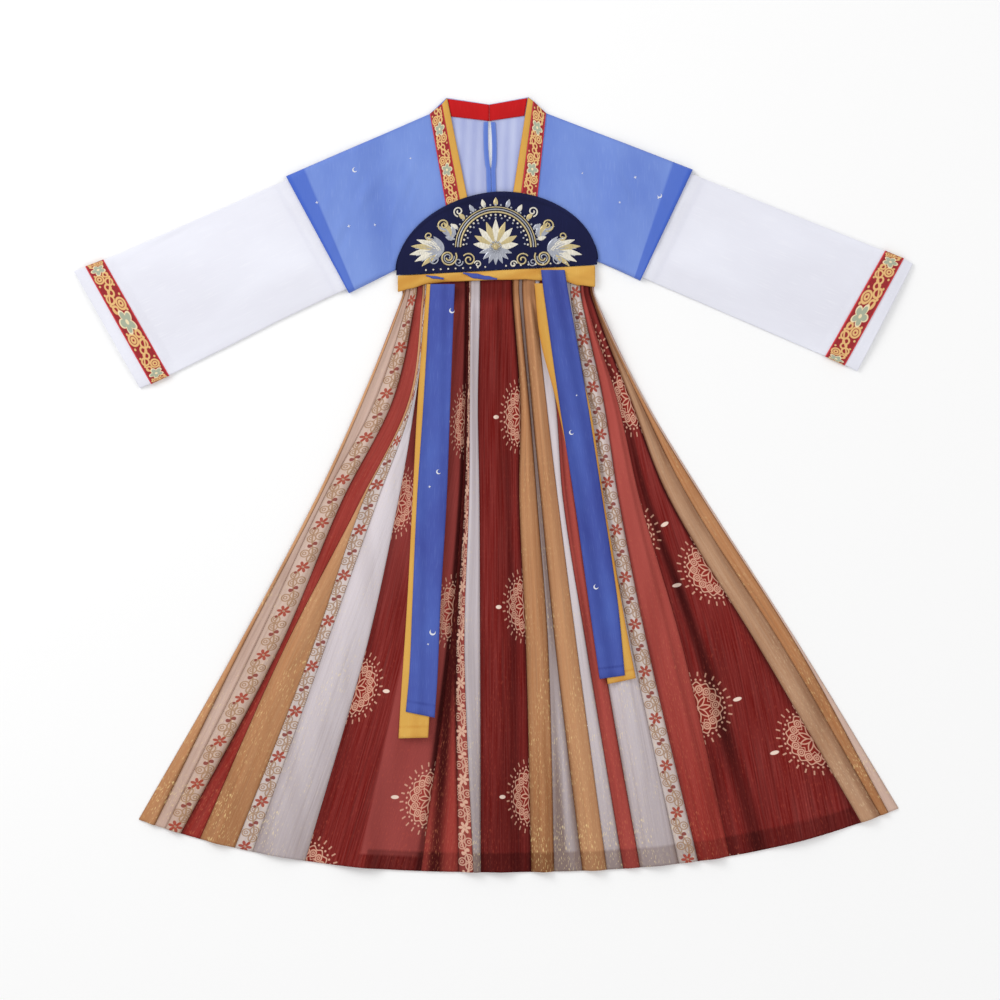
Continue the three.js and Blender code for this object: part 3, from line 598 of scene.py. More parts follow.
# gathers: narrow ridges that start at the sash and die out at different lengths
gathers = {"count": 30, "height": 3.0, "reach": (60, 190)}
gatherRows = [(random.uniform(-0.25, 0.25), random.uniform(0.5, 1.0), random.uniform(*gathers["reach"]))
              for _ in range(gathers["count"])]
leftOutline = goreLine(strips[0], strips[1], 0)
rightOutline = goreLine(strips[-2], strips[-1], 1)


def gatherHeight(x, y):
    left, right = cachedLine(leftOutline, y), cachedLine(rightOutline, y)
    across = (x - left) / (right - left) * gathers["count"]
    height = 0.0
    for k in (int(across) - 1, int(across), int(across) + 1):
        if 0 <= k < gathers["count"]:
            shift, size, reach = gatherRows[k]
            height += size * bell((across - k - 0.5 - shift) / 0.62) * math.exp(-max(250 - y, 0) / reach)
    return height * gathers["height"] * mix(0.35, 1, 1 - ease(y, 235, 262))


def creaseHeight(x, y):
    height = 0.0
    for x1, y1, x2, y2, size, half in creases:
        dx, dy = x2 - x1, y2 - y1
        long = math.hypot(dx, dy)
        along = ((x - x1) * dx + (y - y1) * dy) / long / long
        if 0 < along < 1:
            off = ((x - x1) * dy - (y - y1) * dx) / long + 3 * math.sin(along * 5 + x1)
            if abs(off) < half:
                height += size * bell(off / half) * math.sin(math.pi * along) ** 0.6
    return height


def crinkle(x, y):
    line = noise.noise(Vector((x * 0.11, y * 0.008, 3.1)))
    return 0.55 * line + 0.25 * noise.noise(Vector((x * 0.3, y * 0.03, 8.7)))


def skirtTop(x, y):
    lift = max(foldHeight(x, y) + gatherHeight(x, y) + creaseHeight(x, y), 0) + 0.8 * crinkle(x, y)
    edge = min(x - cachedLine(leftOutline, y), cachedLine(rightOutline, y) - x)
    roll = 1.1 * (1 - math.sqrt(clamp(edge / 3.0)))
    return layer["front"] + max(lift, -0.2) - roll


def shadeAt(x, y):
    t = downShare(y)
    k = min(int(t * 4), 3)
    dark = 0.0
    for knots, strengths, narrow, wide in shadeKnots:
        strength = mix(strengths[k], strengths[k + 1], t * 4 - k)
        dark += strength * bell((x - cachedLine(knots, y)) / mix(narrow, wide, t))
    # painted shade under the sash
    under = 0.35 * ease(y, 235, 262)
    return clamp(1.15 * dark + under + 0.22 * noise.noise(Vector((x * 0.035, y * 0.005, 7.0)))
                 + 0.06 * noise.noise(Vector((x * 0.05, y * 0.01, 1.0))))


floralBlush = floralMaterial("floralOrganzaBlushPrinted", "blush", "#CBB0A0")
clothFor = {
    "floralBlush": (floralBlush, "floral_border"),
    "gold": (goldOrganza, "gold_organza"), "white": (whiteCrinkle, "white_crinkle"),
    "beige": (beigeOrganza, "gold_organza"), "blush": (blushOrganza, "white_crinkle"),
    "plainRed": (plainRedOrganza, "red_plain"),
    "rosette": (rosetteRed, "red_print"), "floral": (floralOrganza, "floral_border"),
    "scroll": (scrollOrganza, "red_print"),
}
# how pale each strip is at the waist, thigh and hem, where the lining shows through it
paleness = {
    "medallion_left": (0.45, 0.6, 0.0), "red_fold": (0.0, 0.1, 0.35), "medallion_centre": (0.0, 0.0, 0.0),
    "orange_right": (0.8, 1.0, 0.0), "red_right": (0.7, 0.75, 0.6), "red_left": (0.6, 0.2, 0.0),
    "medallion_right": (0.2, 0.05, 0.0), "gold_side_left": (0.7, 0.6, 0.1), "gold_left": (0.6, 0.5, 0.1),
    "gold_centre": (0.2, 0.3, 0.1), "gold_centre_right": (0.3, 0.4, 0.5), "white_left": (0.5, 0.6, 0.1),
    "white_side_left": (0.2, 0.2, 0.1), "white_right": (0.6, 0.6, 0.3), "beige_right": (0.1, 0.3, 0.3),
    "gold_side_right": (0.0, 0.1, 0.0), "white_centre": (0.0, 0.3, 0.2), "white_right_outer": (0.3, 0.3, 0.1),
}
# painted shade, growing towards the hem, where the gathered cloth shades itself
hemShade = {"white": 0.5, "gold": 0.12, "gold_centre": 0.4, "white_centre": 0.75, "gold_side_right": 0.35,
            "medallion_centre": 0.25, "gold_left": 0.3, "floralBlush": 0.25, "floral": 0.2}
liningHem = {"from": 7.5, "to": 21, "above": 26, "shade": 0.3}
# rosettes: y of one on the left edge and on the right, how far the print is squeezed at the waist,
# thigh and hem, and how far a fold hides the left row near the top
rosettes = {
    "medallion_left": {"left": -280, "right": -420, "widen": (4.2, 1.8, 1.15)},
    "medallion_centre": {"left": None, "right": -165, "widen": (1.9, 1.8, 1.6)},
    "medallion_right": {"left": -288, "right": -366, "widen": (2.4, 1.5, 1.1), "hidden": 34},
}
far = 9.0  # metres: no rosette stands on that edge

for n in range(len(strips) - 1):
    a, b = strips[n], strips[n + 1]
    name = a[0]
    cloth, slotName = clothFor[a[1]]
    widest = max(b[6] - a[6], b[4] - a[4])
    columns = max(4, round(widest / skirt["column"]))
    rows = round(skirt["length"] / skirt["row"])
    knotsCache = {}

    def lineFor(s, a=a, b=b, cache=knotsCache):
        key = round(s, 5)
        if key not in cache:
            cache[key] = goreLine(a, b, key)
        return cache[key]

    def spotOf(s, t, lineFor=lineFor):
        knots = lineFor(s)
        y = mix(knots[0][1], knots[-1][1], t)
        inset = 0.1 if s < 1e-6 else (-0.1 if s > 1 - 1e-6 else 0)
        return lineAt(knots, y) + inset, y

    # distance down the strip at its middle, and the strip's width there
    steps = 60
    middle = [spotOf(0.5, k / steps) for k in range(steps + 1)]
    run = [0.0]
    for p, q in zip(middle, middle[1:]):
        run.append(run[-1] + math.hypot(q[0] - p[0], q[1] - p[1]))

    def downAt(t, run=run, steps=steps):
        k = min(int(t * steps), steps - 1)
        return mix(run[k], run[k + 1], t * steps - k)

    def widthAt(t, spotOf=spotOf):
        (x0, y0), (x1, _) = spotOf(0, t), spotOf(1, t)
        (px, py), (qx, qy) = spotOf(0.5, max(t - 0.01, 0)), spotOf(0.5, min(t + 0.01, 1))
        return (x1 - x0) * abs(qy - py) / math.hypot(qx - px, qy - py)

    widths = [widthAt(k / steps) for k in range(steps + 1)]

    def localWidth(t, widths=widths, steps=steps):
        k = min(int(t * steps), steps - 1)
        return mix(widths[k], widths[k + 1], t * steps - k)

    def place(s, t, spotOf=spotOf):
        x, y = spotOf(s, t)
        # a stitched seam pulls the cloth down a little along each edge
        seam = skirt["seamDip"] * (bell(s * 6) + bell((1 - s) * 6))
        return x, y, skirtTop(x, y) - seam

    def shadeOf(s, t, spot, n=n, name=name, cloth=a[1]):
        lined = liningHem["from"] < n + s < liningHem["to"]
        below = ease(hemY(spot[0]) + liningHem["above"] - spot[1], -1, 1) if lined else 0
        seam = 0.25 * (bell(s * 9) + bell((1 - s) * 9))
        # painted shade towards the hem
        low = hemShade.get(name, hemShade.get(cloth, 0)) * downShare(spot[1]) ** 3
        return clamp(shadeAt(spot[0], spot[1]) + liningHem["shade"] * below + seam + low)

    def tintOf(s, t, spot, name=name):
        top, mid, low = paleness.get(name, (0.15, 0.15, 0.1))
        down = downShare(spot[1])
        pale = mix(top, mid, down / 0.38) if down < 0.38 else mix(mid, low, (down - 0.38) / 0.62)
        if name == "medallion_left":
            overlay = ease(s, 0.44, 0.47) * ease(hemY(spot[0]) + 19 - spot[1], 1, -1)
            pale = mix(pale, 0.8 * overlay, ease(down, 0.35, 0.62))
        return clamp(pale + 0.12 * noise.noise(Vector((spot[0] * 0.03, spot[1] * 0.006, 5.0))))

    marks = {
        "shade": shadeOf,
        "tint": tintOf,
        # painted glints: fewer at the waist, more towards the hem
        "spark": lambda s, t, spot: mix(0.35, 1.2, downShare(spot[1]) ** 1.5),
    }
    if a[1] in ("floral", "floralBlush", "scroll"):
        marks["fromMiddle"] = lambda s, t, spot, w=localWidth: (s - 0.5) * max(w(t), 15) * mm
    if a[1] == "rosette":
        plan = rosettes[name]
        spread = lambda t, plan=plan: (mix(plan["widen"][0], plan["widen"][1], t / 0.4) if t < 0.4
                                       else mix(plan["widen"][1], plan["widen"][2], (t - 0.4) / 0.6))
        top, low = middle[0][1], middle[-1][1]
        for edge, at in (("Left", plan["left"]), ("Right", plan["right"])):
            phase = downAt(clamp((top - (at if at is not None else 0)) / (top - low)))
            marks["down" + edge] = lambda s, t, spot, d=downAt, p=phase: (
                (d(t) - p) * mm + (4 * rosette["period"] + rosette["period"] / 2) * mm)
            if at is None:
                marks["from" + edge] = lambda s, t, spot: far
            elif edge == "Left":
                hidden = plan.get("hidden", 0)
                marks["fromLeft"] = lambda s, t, spot, w=localWidth, k=spread, h=hidden: (
                    s * w(t) * k(t) + h * ease(spot[1], -190, -120)) * mm
            else:
                marks["fromRight"] = lambda s, t, spot, w=localWidth, k=spread: (1 - s) * w(t) * k(t) * mm
    cutWidth = max(widths) * skirt["crinkle"]
    cutLength = run[-1] * skirt["ease"]
    makeSheet(f"skirt_{name}_cloth", columns, rows, place, skirt["wall"], f"skirt_{name}", slotName, cloth,
              (cutWidth, cutLength), uv=lambda s, t, w=localWidth, d=downAt: (s * w(t), d(t)),
              attributes=marks,
              restsOn=["skirt_back_cloth"])
print("skirt front made")

# the back of the skirt: the same strips, flat on the table, seen only at the edges and from below
backTuck = 20.3


def backPlace(s, t):
    knots = [(mix(leftOutline[k][0], rightOutline[k][0], s), mix(leftOutline[k][1], rightOutline[k][1], s))
             for k in range(1, 5)]
    knots = [(knots[0][0], waistY(knots[0][0]) - backTuck)] + knots
    hemX = mix(strips[0][6], strips[-1][6], s)
    knots.append((hemX, hemY(hemX)))
    y = mix(knots[0][1], knots[-1][1], t)
    x = lineAt(knots, y)
    return x * 0.998, y, layer["back"]


backWidth, backLength = 1026, 815
makeSheet("skirt_back_cloth", 90, 120, backPlace, 0.8, "skirt_back", "red_print", plainRedOrganza,
          (backWidth, backLength),
          attributes={"shade": lambda s, t, spot: 0.2, "tint": lambda s, t, spot: 0.2,
                      "spark": lambda s, t, spot: 0.3})
print("skirt back made")

# bodice and over-sleeves
sides = {
    "left": {"hand": -1, "neck": (-63, 522), "shoulder": (-86, 500), "overArmpit": (-150, 472),
             "overCap": (-190, 455), "sleeveTop": (-280, 416), "sleeveLow": (-195, 258),
             "underCap": (-165, 273), "armpit": (-131, 290),
             "waistIn": (-14, 288.5), "waistMid": (-100, 284)},
    "right": {"hand": 1, "neck": (47, 523), "shoulder": (71, 501), "overArmpit": (131, 478),
              "overCap": (171, 463), "sleeveTop": (269, 425), "sleeveLow": (198, 275),
              "underCap": (168, 289), "armpit": (138, 302), "waistIn": (9, 290), "waistMid": (108, 295)},
}
bodiceColumns = [("neck", "waistIn"), ("shoulder", "waistMid"), ("overArmpit", "armpit"),
                 ("overCap", "underCap"), ("sleeveTop", "sleeveLow")]
sleeveRise = {"flat": 4.3, "crown": 2.4, "edge": 0.04}
# soft creases of the bodice: x, y to x, y on the left side, height and half width
bodiceCreases = [
    (-92, 470, -150, 330, 1.1, 12), (-130, 460, -230, 300, 1.3, 14), (-170, 440, -215, 290, -1.0, 10),
    (-120, 400, -140, 300, -1.1, 8), (-90, 430, -118, 350, 0.9, 9), (-200, 430, -240, 330, 0.8, 12),
    (-75, 440, -95, 385, -0.8, 7),
]


def bodicePoint(side, s, t):
    place = s * (len(bodiceColumns) - 1)
    k = min(int(place), len(bodiceColumns) - 2)
    f = place - k
    (topA, lowA), (topB, lowB) = bodiceColumns[k], bodiceColumns[k + 1]
    top = [mix(p, q, f) for p, q in zip(side[topA], side[topB])]
    low = [mix(p, q, f) for p, q in zip(side[lowA], side[lowB])]
    return mix(top[0], low[0], t), mix(top[1], low[1], t)


def bodiceCrease(x, y, hand):
    mirrored = x if hand < 0 else -x + 4
    height = 0.0
    for x1, y1, x2, y2, size, half in bodiceCreases:
        dx, dy = x2 - x1, y2 - y1
        long = math.hypot(dx, dy)
        along = ((mirrored - x1) * dx + (y - y1) * dy) / long / long
        if 0 < along < 1:
            off = ((mirrored - x1) * dy - (y - y1) * dx) / long + 2 * math.sin(along * 4 + y1)
            height += size * bell(off / half) * math.sin(math.pi * along)
    return height


def makeBodice(name, side):
    hand = side["hand"]

    def frontPlace(s, t):
        x, y = bodicePoint(side, s, t)
        risen = ease(s, 0.5, 0.75)
        edge = clamp(min(t, 1 - t) / sleeveRise["edge"])
        round_ = math.sqrt(1 - (1 - edge) ** 2)
        crown = sleeveRise["crown"] * (1 - (2 * t - 1) ** 2)
        rise = risen * round_ * (sleeveRise["flat"] + crown)
        soft = bodiceCrease(x, y, hand) * ease(s, 0.2, 0.4) * round_
        soft += 0.5 * noise.noise(Vector((x * 0.02, y * 0.02, 4.0))) * ease(s, 0.25, 0.5) * round_
        band_ = 0.45 * ease(s, 0.93, 0.937) * round_
        return x, y, layer["front"] + 0.2 + max(rise + soft, 0) + band_

    makeSheet(f"bodice_front_{name}_cloth", 110, 90, frontPlace, 0.5, f"bodice_front_{name}", "blue_chiffon",
              blueChiffon, (290, 260), uv=lambda s, t: bodicePoint(side, s, t),
              attributes={"hem": lambda s, t, spot: (0.9 * ease(s, 0.93, 0.936)
                                                     * (0.75 + 0.25 * ease(s, 0.985, 0.99))),
                          "shade": lambda s, t, spot: 0.3 * ease(0.03 - min(t, 1 - t), 0, 0.03)},
              restsOn=[f"bodice_back_{name}_cloth"])

    def backPlace(s, t):
        if s > 0.12:
            x, y = bodicePoint(side, (s - 0.12) / 0.88, t)
            return x * 0.999, y, layer["back"]
        y0 = mix(centreBack["topY"], waistY(0) + 1, t)
        x0 = centreX(y0) + hand * (0.15 + keyholeHalf(y0))
        x1, y1 = bodicePoint(side, 0, t)
        f = s / 0.12
        x = mix(x0, x1, f)
        pleat = 0.5 * math.sin(x * 0.42 + math.sin(y0 * 0.02)) + 0.3 * math.sin(x * 0.9 + 1)
        return x, mix(y0, y1, f), layer["back"] + 0.3 * pleat * math.sin(math.pi * f)

    makeSheet(f"bodice_back_{name}_cloth", 120, 80, backPlace, 0.5, f"bodice_back_{name}", "lilac_back",
              lilacLining, (300, 260), uv=lambda s, t: (backPlace(s, t)[0], backPlace(s, t)[1]),
              attributes={"shade": lambda s, t, spot: (
                  0.25 + 0.3 * math.sin(spot[0] * 0.42 + math.sin(spot[1] * 0.02)))})


centreBack = {"topX": -6, "topY": 513, "lean": 0.028}
keyhole = {"topY": 497, "lowY": 427, "half": 2.4}  # the bindings close it a little more than the cut


def centreX(y):
    return centreBack["topX"] + (centreBack["topY"] - y) * centreBack["lean"]


def keyholeHalf(y):
    f = (y - keyhole["lowY"]) / (keyhole["topY"] - keyhole["lowY"])
    return keyhole["half"] * math.sqrt(math.sin(math.pi * f)) if 0 < f < 1 else 0.0


binding = {"width": 6.3, "topY": 489, "lowY": 380, "openWidth": 10.5}
neckbands = {
    "left": {"outTop": (-62, 520.5), "outLow": (-57, 496.5)},
    "right": {"outTop": (45.5, 521.5), "outLow": (41.7, 497.5)},
}
bindingLong = binding["topY"] - binding["lowY"]
flatShade = {"shade": lambda s, t, spot: 0.0}
for name, side in sides.items():
    makeBodice(name, side)
    hand = side["hand"]

    def bindingPlace(s, t, hand=hand):
        y = mix(binding["topY"], binding["lowY"], t)
        x = centreX(y) + hand * (0.15 + keyholeHalf(y) + s * binding["width"])
        return x, y, layer["front"] - 0.1 + 0.35 * math.sin(math.pi * s)

    makeSheet(f"keyhole_binding_{name}_cloth", 8, 50, bindingPlace, 0.6, f"keyhole_binding_{name}",
              "blue_chiffon", blueChiffon, (binding["openWidth"], bindingLong),
              attributes={"hem": lambda s, t, spot: 0.25 + 0.3 * bell(2 * s - 1) - 0.2 * s, **flatShade},
              restsOn=[f"bodice_back_{name}_cloth"])
    bandEnd = neckbands[name]

    def neckbandPlace(s, t, hand=hand, end=bandEnd):
        x0 = centreX(501) + hand * 0.2
        y0 = mix(512.5, 490.5, t)
        x1, y1 = [mix(p, q, t) for p, q in zip(end["outTop"], end["outLow"])]
        return mix(x0, x1, s), mix(y0, y1, s), layer["front"] + 0.1 + 0.7 * bell(2 * t - 1) ** 0.5

    makeSheet(f"neckband_{name}_cloth", 30, 14, neckbandPlace, 0.8, f"neckband_{name}", "red_band", redBand,
              (56, 25), attributes={"shade": lambda s, t, spot: 0.5 * bell(s * 12) + 0.3 * bell((1 - s) * 14)
                                    + 0.25 * bell((1 - t) * 8)}, restsOn=[f"bodice_back_{name}_cloth"])
print("bodice made")

# collar
collarTuck = 372
collars = {
    "left": {"outer": ((-86, 500), (-65, 380)), "seam": ((-69.5, 513.5), (-46.5, 390)),
             "inner": ((-62.5, 521.5), (-36, 392))},
    "right": {"outer": ((71, 501), (59, 384)), "seam": ((53.5, 517.5), (37, 391)),
              "inner": ((46.5, 522.5), (26.5, 396))},
}


def edgeSpot(edge, t):
    (topX, topY), (lowX, lowY) = edge
    slope = (lowX - topX) / (lowY - topY)
    y = mix(topY, collarTuck, t)
    return topX + slope * (y - topY), y


for name, band_ in collars.items():
    for kind, outerKey, innerKey, cloth, slotName, width in (
            ("jacquard", "outer", "seam", jacquard, "jacquard_ribbon", 23),
            ("edge", "seam", "inner", yellowCloth, "yellow_cloth", 10)):
        def collarPlace(s, t, band_=band_, a=outerKey, b=innerKey, kind=kind):
            x0, y0 = edgeSpot(band_[a], t)
            x1, y1 = edgeSpot(band_[b], t)
            swell = 0.25 if kind == "jacquard" else 0.8
            z = layer["collar"] + swell * bell(2 * s - 1) ** 0.5
            return mix(x0, x1, mix(0.01, 0.99, s)), mix(y0, y1, s), z

        flip = 1 if name == "left" else -1
        makeSheet(f"collar_{kind}_{name}_cloth", 14, 50, collarPlace, 0.7, f"collar_{kind}_{name}", slotName,
                  cloth, (width, 140), uv=lambda s, t, w=width, f=flip: ((s - 0.5) * 25 * f, t * 140),
                  attributes={"shade": lambda s, t, spot: 0.45 * bell((1 - s) * 5)},
                  restsOn=[f"bodice_front_{name}_cloth"])
print("collar made")

# chest panel with raised embroidery
chest = {"leftX": -131, "rightX": 140, "spring": 8, "height": 98, "power": 1.9, "crown": 2.2}
chestMiddle = (chest["leftX"] + chest["rightX"]) / 2
chestHalf = (chest["rightX"] - chest["leftX"]) / 2


def chestTop(x):
    off = min(abs(x - chestMiddle) / chestHalf, 1)
    return waistY(x) + chest["spring"] + chest["height"] * (1 - off ** chest["power"]) ** (1 / chest["power"])


def chestZ(x, y):
    off = clamp(abs(x - chestMiddle) / chestHalf)
    up = clamp((y - waistY(x)) / max(chestTop(x) - waistY(x), 1))
    swell = math.sin(math.pi * clamp(up, 0.05, 0.95)) ** 0.7
    return layer["chest"] + chest["crown"] * (1 - off * off) * swell


def chestPlace(s, t):
    x = chestMiddle - chestHalf * math.cos(math.pi * s)
    y = mix(chestTop(x), waistY(x) + 0.3, t)
    rim = 0.5 * bell((t - 0.045) * 22)
    return x, y, chestZ(x, y) + rim - 0.8 * bell(t * 40)


makeSheet("chest_panel_cloth", 130, 60, chestPlace, 1.2, "chest_panel", "navy_panel", navyVelvet, (271, 114),
          uv=lambda s, t: chestPlace(s, t)[:2],
          attributes={"shade": lambda s, t, spot: 0.3 * bell((t - 0.08) * 30)},
          restsOn=["collar_jacquard_left_cloth", "collar_jacquard_right_cloth"])

# each thread: colour, painted shade between the stitch ridges, roughness and metallic
threadLook = {
    "ivory": ("#F2ECDC", "#8C8676", 0.45, 0.0), "gold": ("#D8C48C", "#8C8676", 0.38, 0.35),
    "silver": ("#B9BCC6", "#6E7280", 0.35, 0.5),
}


# satin stitch in rayon thread: fine ridges, drawn about 0.7 mm apart so that they show
def threadMaterial(key):
    code, stitchShade, roughness, metallic = threadLook[key]
    material, tree, shader = clothMaterial(key + "RayonThreadStitched", roughness, 0.1, 0.5)
    shader.inputs["Metallic"].default_value = metallic
    where = put(tree, "TexCoord", output=3)
    along = put(tree, "Mapping", where, None, (0, 0, 0.6), (1400, 260, 300))
    wave = put(tree, "TexNoise", along, None, 1.0, 2.0)
    # painted shade along the satin-stitch ridges, following the same wave as the bump
    tone = blend(tree, put(tree, "MapRange", wave, 0.35, 0.75), code, stitchShade)
    tone = blend(tree, 0.45, tone, code)
    finishMaterial(tree, shader, tone, wave, 0.0003, 0.6)
    return material


threads = {key: threadMaterial(key) for key in threadLook}
embroidery = {key: [] for key in threadLook}


def joinPieces(objects, name, material):
    bpy.ops.object.select_all(action="DESELECT")
    for item in objects:
        item.select_set(True)
    bpy.context.view_layer.objects.active = objects[0]
    bpy.ops.object.join()
    joined = bpy.context.object
    joined.name = name
    bpy.ops.object.transform_apply(location=True, rotation=True, scale=True)
    joined.data.materials.clear()
    joined.data.materials.append(material)
    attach(joined, "root")
    return joined


# a couched cord along points given in mm on the panel
def cordAlong(key, points, radius=0.8, lift=0.5):
    bpy.ops.object.select_all(action="DESELECT")
    curve = bpy.data.curves.new("cord", "CURVE")
    curve.dimensions = "3D"
    curve.bevel_depth = radius * mm
    curve.bevel_resolution = 1
    curve.resolution_u = 4
    curve.use_fill_caps = True
    line = curve.splines.new("POLY")
    line.points.add(len(points) - 1)
    for point, (x, y) in zip(line.points, points):
        point.co = (x * mm, y * mm, (chestZ(x, y) + lift) * mm, 1)
    item = bpy.data.objects.new("cord", curve)
    bpy.context.collection.objects.link(item)
    item.select_set(True)
    bpy.context.view_layer.objects.active = item
    bpy.ops.object.convert(target="MESH")
    embroidery[key].append(bpy.context.object)


# a padded satin-stitch leaf: a lens with a ridge, from its root towards an angle
def leafAt(key, x, y, angle, long, wide, bend=0.0):
    bpy.ops.object.select_all(action="DESELECT")
    bpy.ops.mesh.primitive_grid_add(x_subdivisions=14, y_subdivisions=6, size=2)
    leaf = bpy.context.object
    for v in leaf.data.vertices:
        s, c = (v.co.x + 1) / 2, v.co.y
        half = wide / 2 * math.sin(math.pi * clamp(s, 0.02, 0.985)) ** 0.75 * (1.1 - 0.45 * s)
        turn = angle + bend * s
        px = x + math.cos(turn) * long * s - math.sin(turn) * half * c
        py = y + math.sin(turn) * long * s + math.cos(turn) * half * c
        ridge = 1.0 * (1 - c * c) * math.sin(math.pi * clamp(s, 0.05, 0.95)) - 0.35 * bell(c * 6)
        v.co = (px * mm, py * mm, (chestZ(px, py) + 0.15 + ridge) * mm)
    leaf.data.update()
    bpy.ops.object.shade_smooth()
    embroidery[key].append(leaf)


def pearlAt(key, x, y, radius):
    bpy.ops.object.select_all(action="DESELECT")
    bpy.ops.mesh.primitive_uv_sphere_add(segments=10, ring_count=6, radius=radius * mm,
                                         location=(x * mm, y * mm, (chestZ(x, y) + radius * 0.5) * mm))
    bpy.ops.object.shade_smooth()
    embroidery[key].append(bpy.context.object)


def spiral(x, y, size, turns, start, hand):
    points = []
    for k in range(int(turns * 16) + 1):
        f = k / (turns * 16)
        angle = start + hand * turns * 2 * math.pi * f
        reach = size * (1 - 0.82 * f)
        points.append((x + reach * math.cos(angle), y + reach * math.sin(angle)))
    return points


# the panel's design: a lotus in the middle, cloud scrolls beside it, sprays of leaves and pearls
lotus = {"x": 3, "y": 320, "petals": 9, "long": 38, "wide": 11.5}
for k in range(lotus["petals"]):
    turn = math.pi / 2 + (k - (lotus["petals"] - 1) / 2) * 0.36
    leafAt("ivory" if k % 2 == 0 else "gold", lotus["x"], lotus["y"], turn,
           lotus["long"] * (1 - 0.05 * abs(k - 4)), lotus["wide"])
for k in range(7):
    leafAt("silver", lotus["x"], lotus["y"] - 1, -math.pi / 2 + (k - 3) * 0.42, 23, 8)
pearlAt("gold", lotus["x"], lotus["y"], 4.2)
pearlRings = ((7.0, 12, "silver"), (43.5, 21, "ivory"), (39.5, 15, "silver"), (57.0, 25, "silver"))
for ring, count, key in pearlRings:
    for k in range(count):
        turn = 2 * math.pi * k / count if ring < 10 else math.pi * (k + 0.5) / count
        pearlAt(key, lotus["x"] + ring * math.cos(turn), lotus["y"] + ring * math.sin(turn), 1.5)
# an arch of cords over the lotus, with short leaves standing on it
for reach, key, radius in ((47.5, "gold", 1.3), (51.0, "silver", 1.0), (54.0, "gold", 0.8)):
    turns = [math.pi * k / 30 for k in range(31)]
    bow = [(lotus["x"] + reach * math.cos(a), lotus["y"] + reach * math.sin(a)) for a in turns]
    cordAlong(key, bow, radius)
for k in range(11):
    turn = math.pi * (k + 0.9) / 11.8
    leafAt(("ivory", "silver", "gold")[k % 3], lotus["x"] + 58 * math.cos(turn),
           lotus["y"] - 3 + 58 * math.sin(turn), turn, 12, 7)
underLeaves = ((1.2, 24, 8, "silver"), (0.9, 31, 8, "silver"), (0.6, 36, 8, "silver"), 
               (0.33, 39, 8, "silver"), (0.07, 38, 8, "silver"), (-0.2, 33, 8, "silver"),
               (-0.55, 24, 7, "silver"))
sprayLeaves = ((1.02, 32, 10, "ivory"), (0.74, 38, 11, "ivory"), (0.47, 42, 11.5, "gold"),
               (0.2, 43, 11.5, "ivory"), (-0.06, 38, 10.5, "ivory"), (-0.34, 32, 9, "gold"))
crestLeaves = ((1.75, 20, 8, "silver"), (1.3, 25, 9, "gold"), (0.9, 27, 9, "silver"))
cloudScrolls = (("gold", 64, 306, 12, 1.6, 2.6, 1.2), ("silver", 64, 306, 8.5, 1.2, 2.9, 0.9),
                ("gold", 36, 303, 9, 1.5, 0.6, 1.1), ("silver", 50, 300, 6, 1.4, 3.0, 0.9),
                ("silver", 84, 303, 7, 1.4, 2.2, 0.9), ("ivory", 24, 297, 5, 1.3, 0.2, 0.9),
                ("gold", 70, 350, 9, 1.5, 4.4, 1.2),
                ("ivory", 50, 368, 7, 1.4, 4.8, 1.0), ("gold", 90, 335, 6, 1.3, 4.0, 1.0))
for hand in (-1, 1):
    def side(x):
        return lotus["x"] + hand * x
    for key, x, y, size, turns, start, radius in cloudScrolls:
        cordAlong(key, [(side(px), py) for px, py in spiral(x, y, size, turns, start, 1)], radius)
    for leaves, x, y in ((underLeaves, 70, 315), (sprayLeaves, 73, 312), (crestLeaves, 58, 332)):
        for turn, long, wide, key in leaves:
            leafAt(key, side(x), y, turn if hand > 0 else math.pi - turn, long, wide, -0.25 * hand)
    for k in range(9):
        x = side(14 + 10 * k)
        pearlAt("ivory", x, waistY(x) + 5, 1.3)
for key, items in embroidery.items():
    joinPieces(items, f"embroidery_{key}", threads[key])
print("chest panel made")

# sash
sashSections = [(-129, 22), (-112, 18.5), (-90, 13.5), (-60, 12), (-10, 12.5), (40, 14), (66, 17), (95, 20),
                (116, 26), (137, 29)]


def sashWidth(x):
    for (x0, w0), (x1, w1) in zip(sashSections, sashSections[1:]):
        if x <= x1:
            return mix(w0, w1, ease(x, x0, x1))
    return sashSections[-1][1]


sash = {"drop": 0.4, "round": 1.7, "backWidth": 20}


def sashPlace(s, t):
    x = mix(sashSections[0][0], sashSections[-1][0], s)
    width = sashWidth(x)
    y = waistY(x) - sash["drop"] - width * t
    # twisted folds run slantwise along the band
    twist = 0.55 * math.sin((x * 0.075) + t * 4.2) + 0.3 * math.sin(x * 0.19 - t * 6)
    calm = ease(x, 80, 96)
    fold = 0.9 * bell((t - 0.35 - 0.25 * (x - 95) / 42) * 5) * calm
    round_ = sash["round"] * math.sqrt(clamp(1 - (2 * t - 1) ** 2))
    return x, y, layer["sash"] - 1.2 + round_ + twist * (1 - calm) * 0.9 + fold


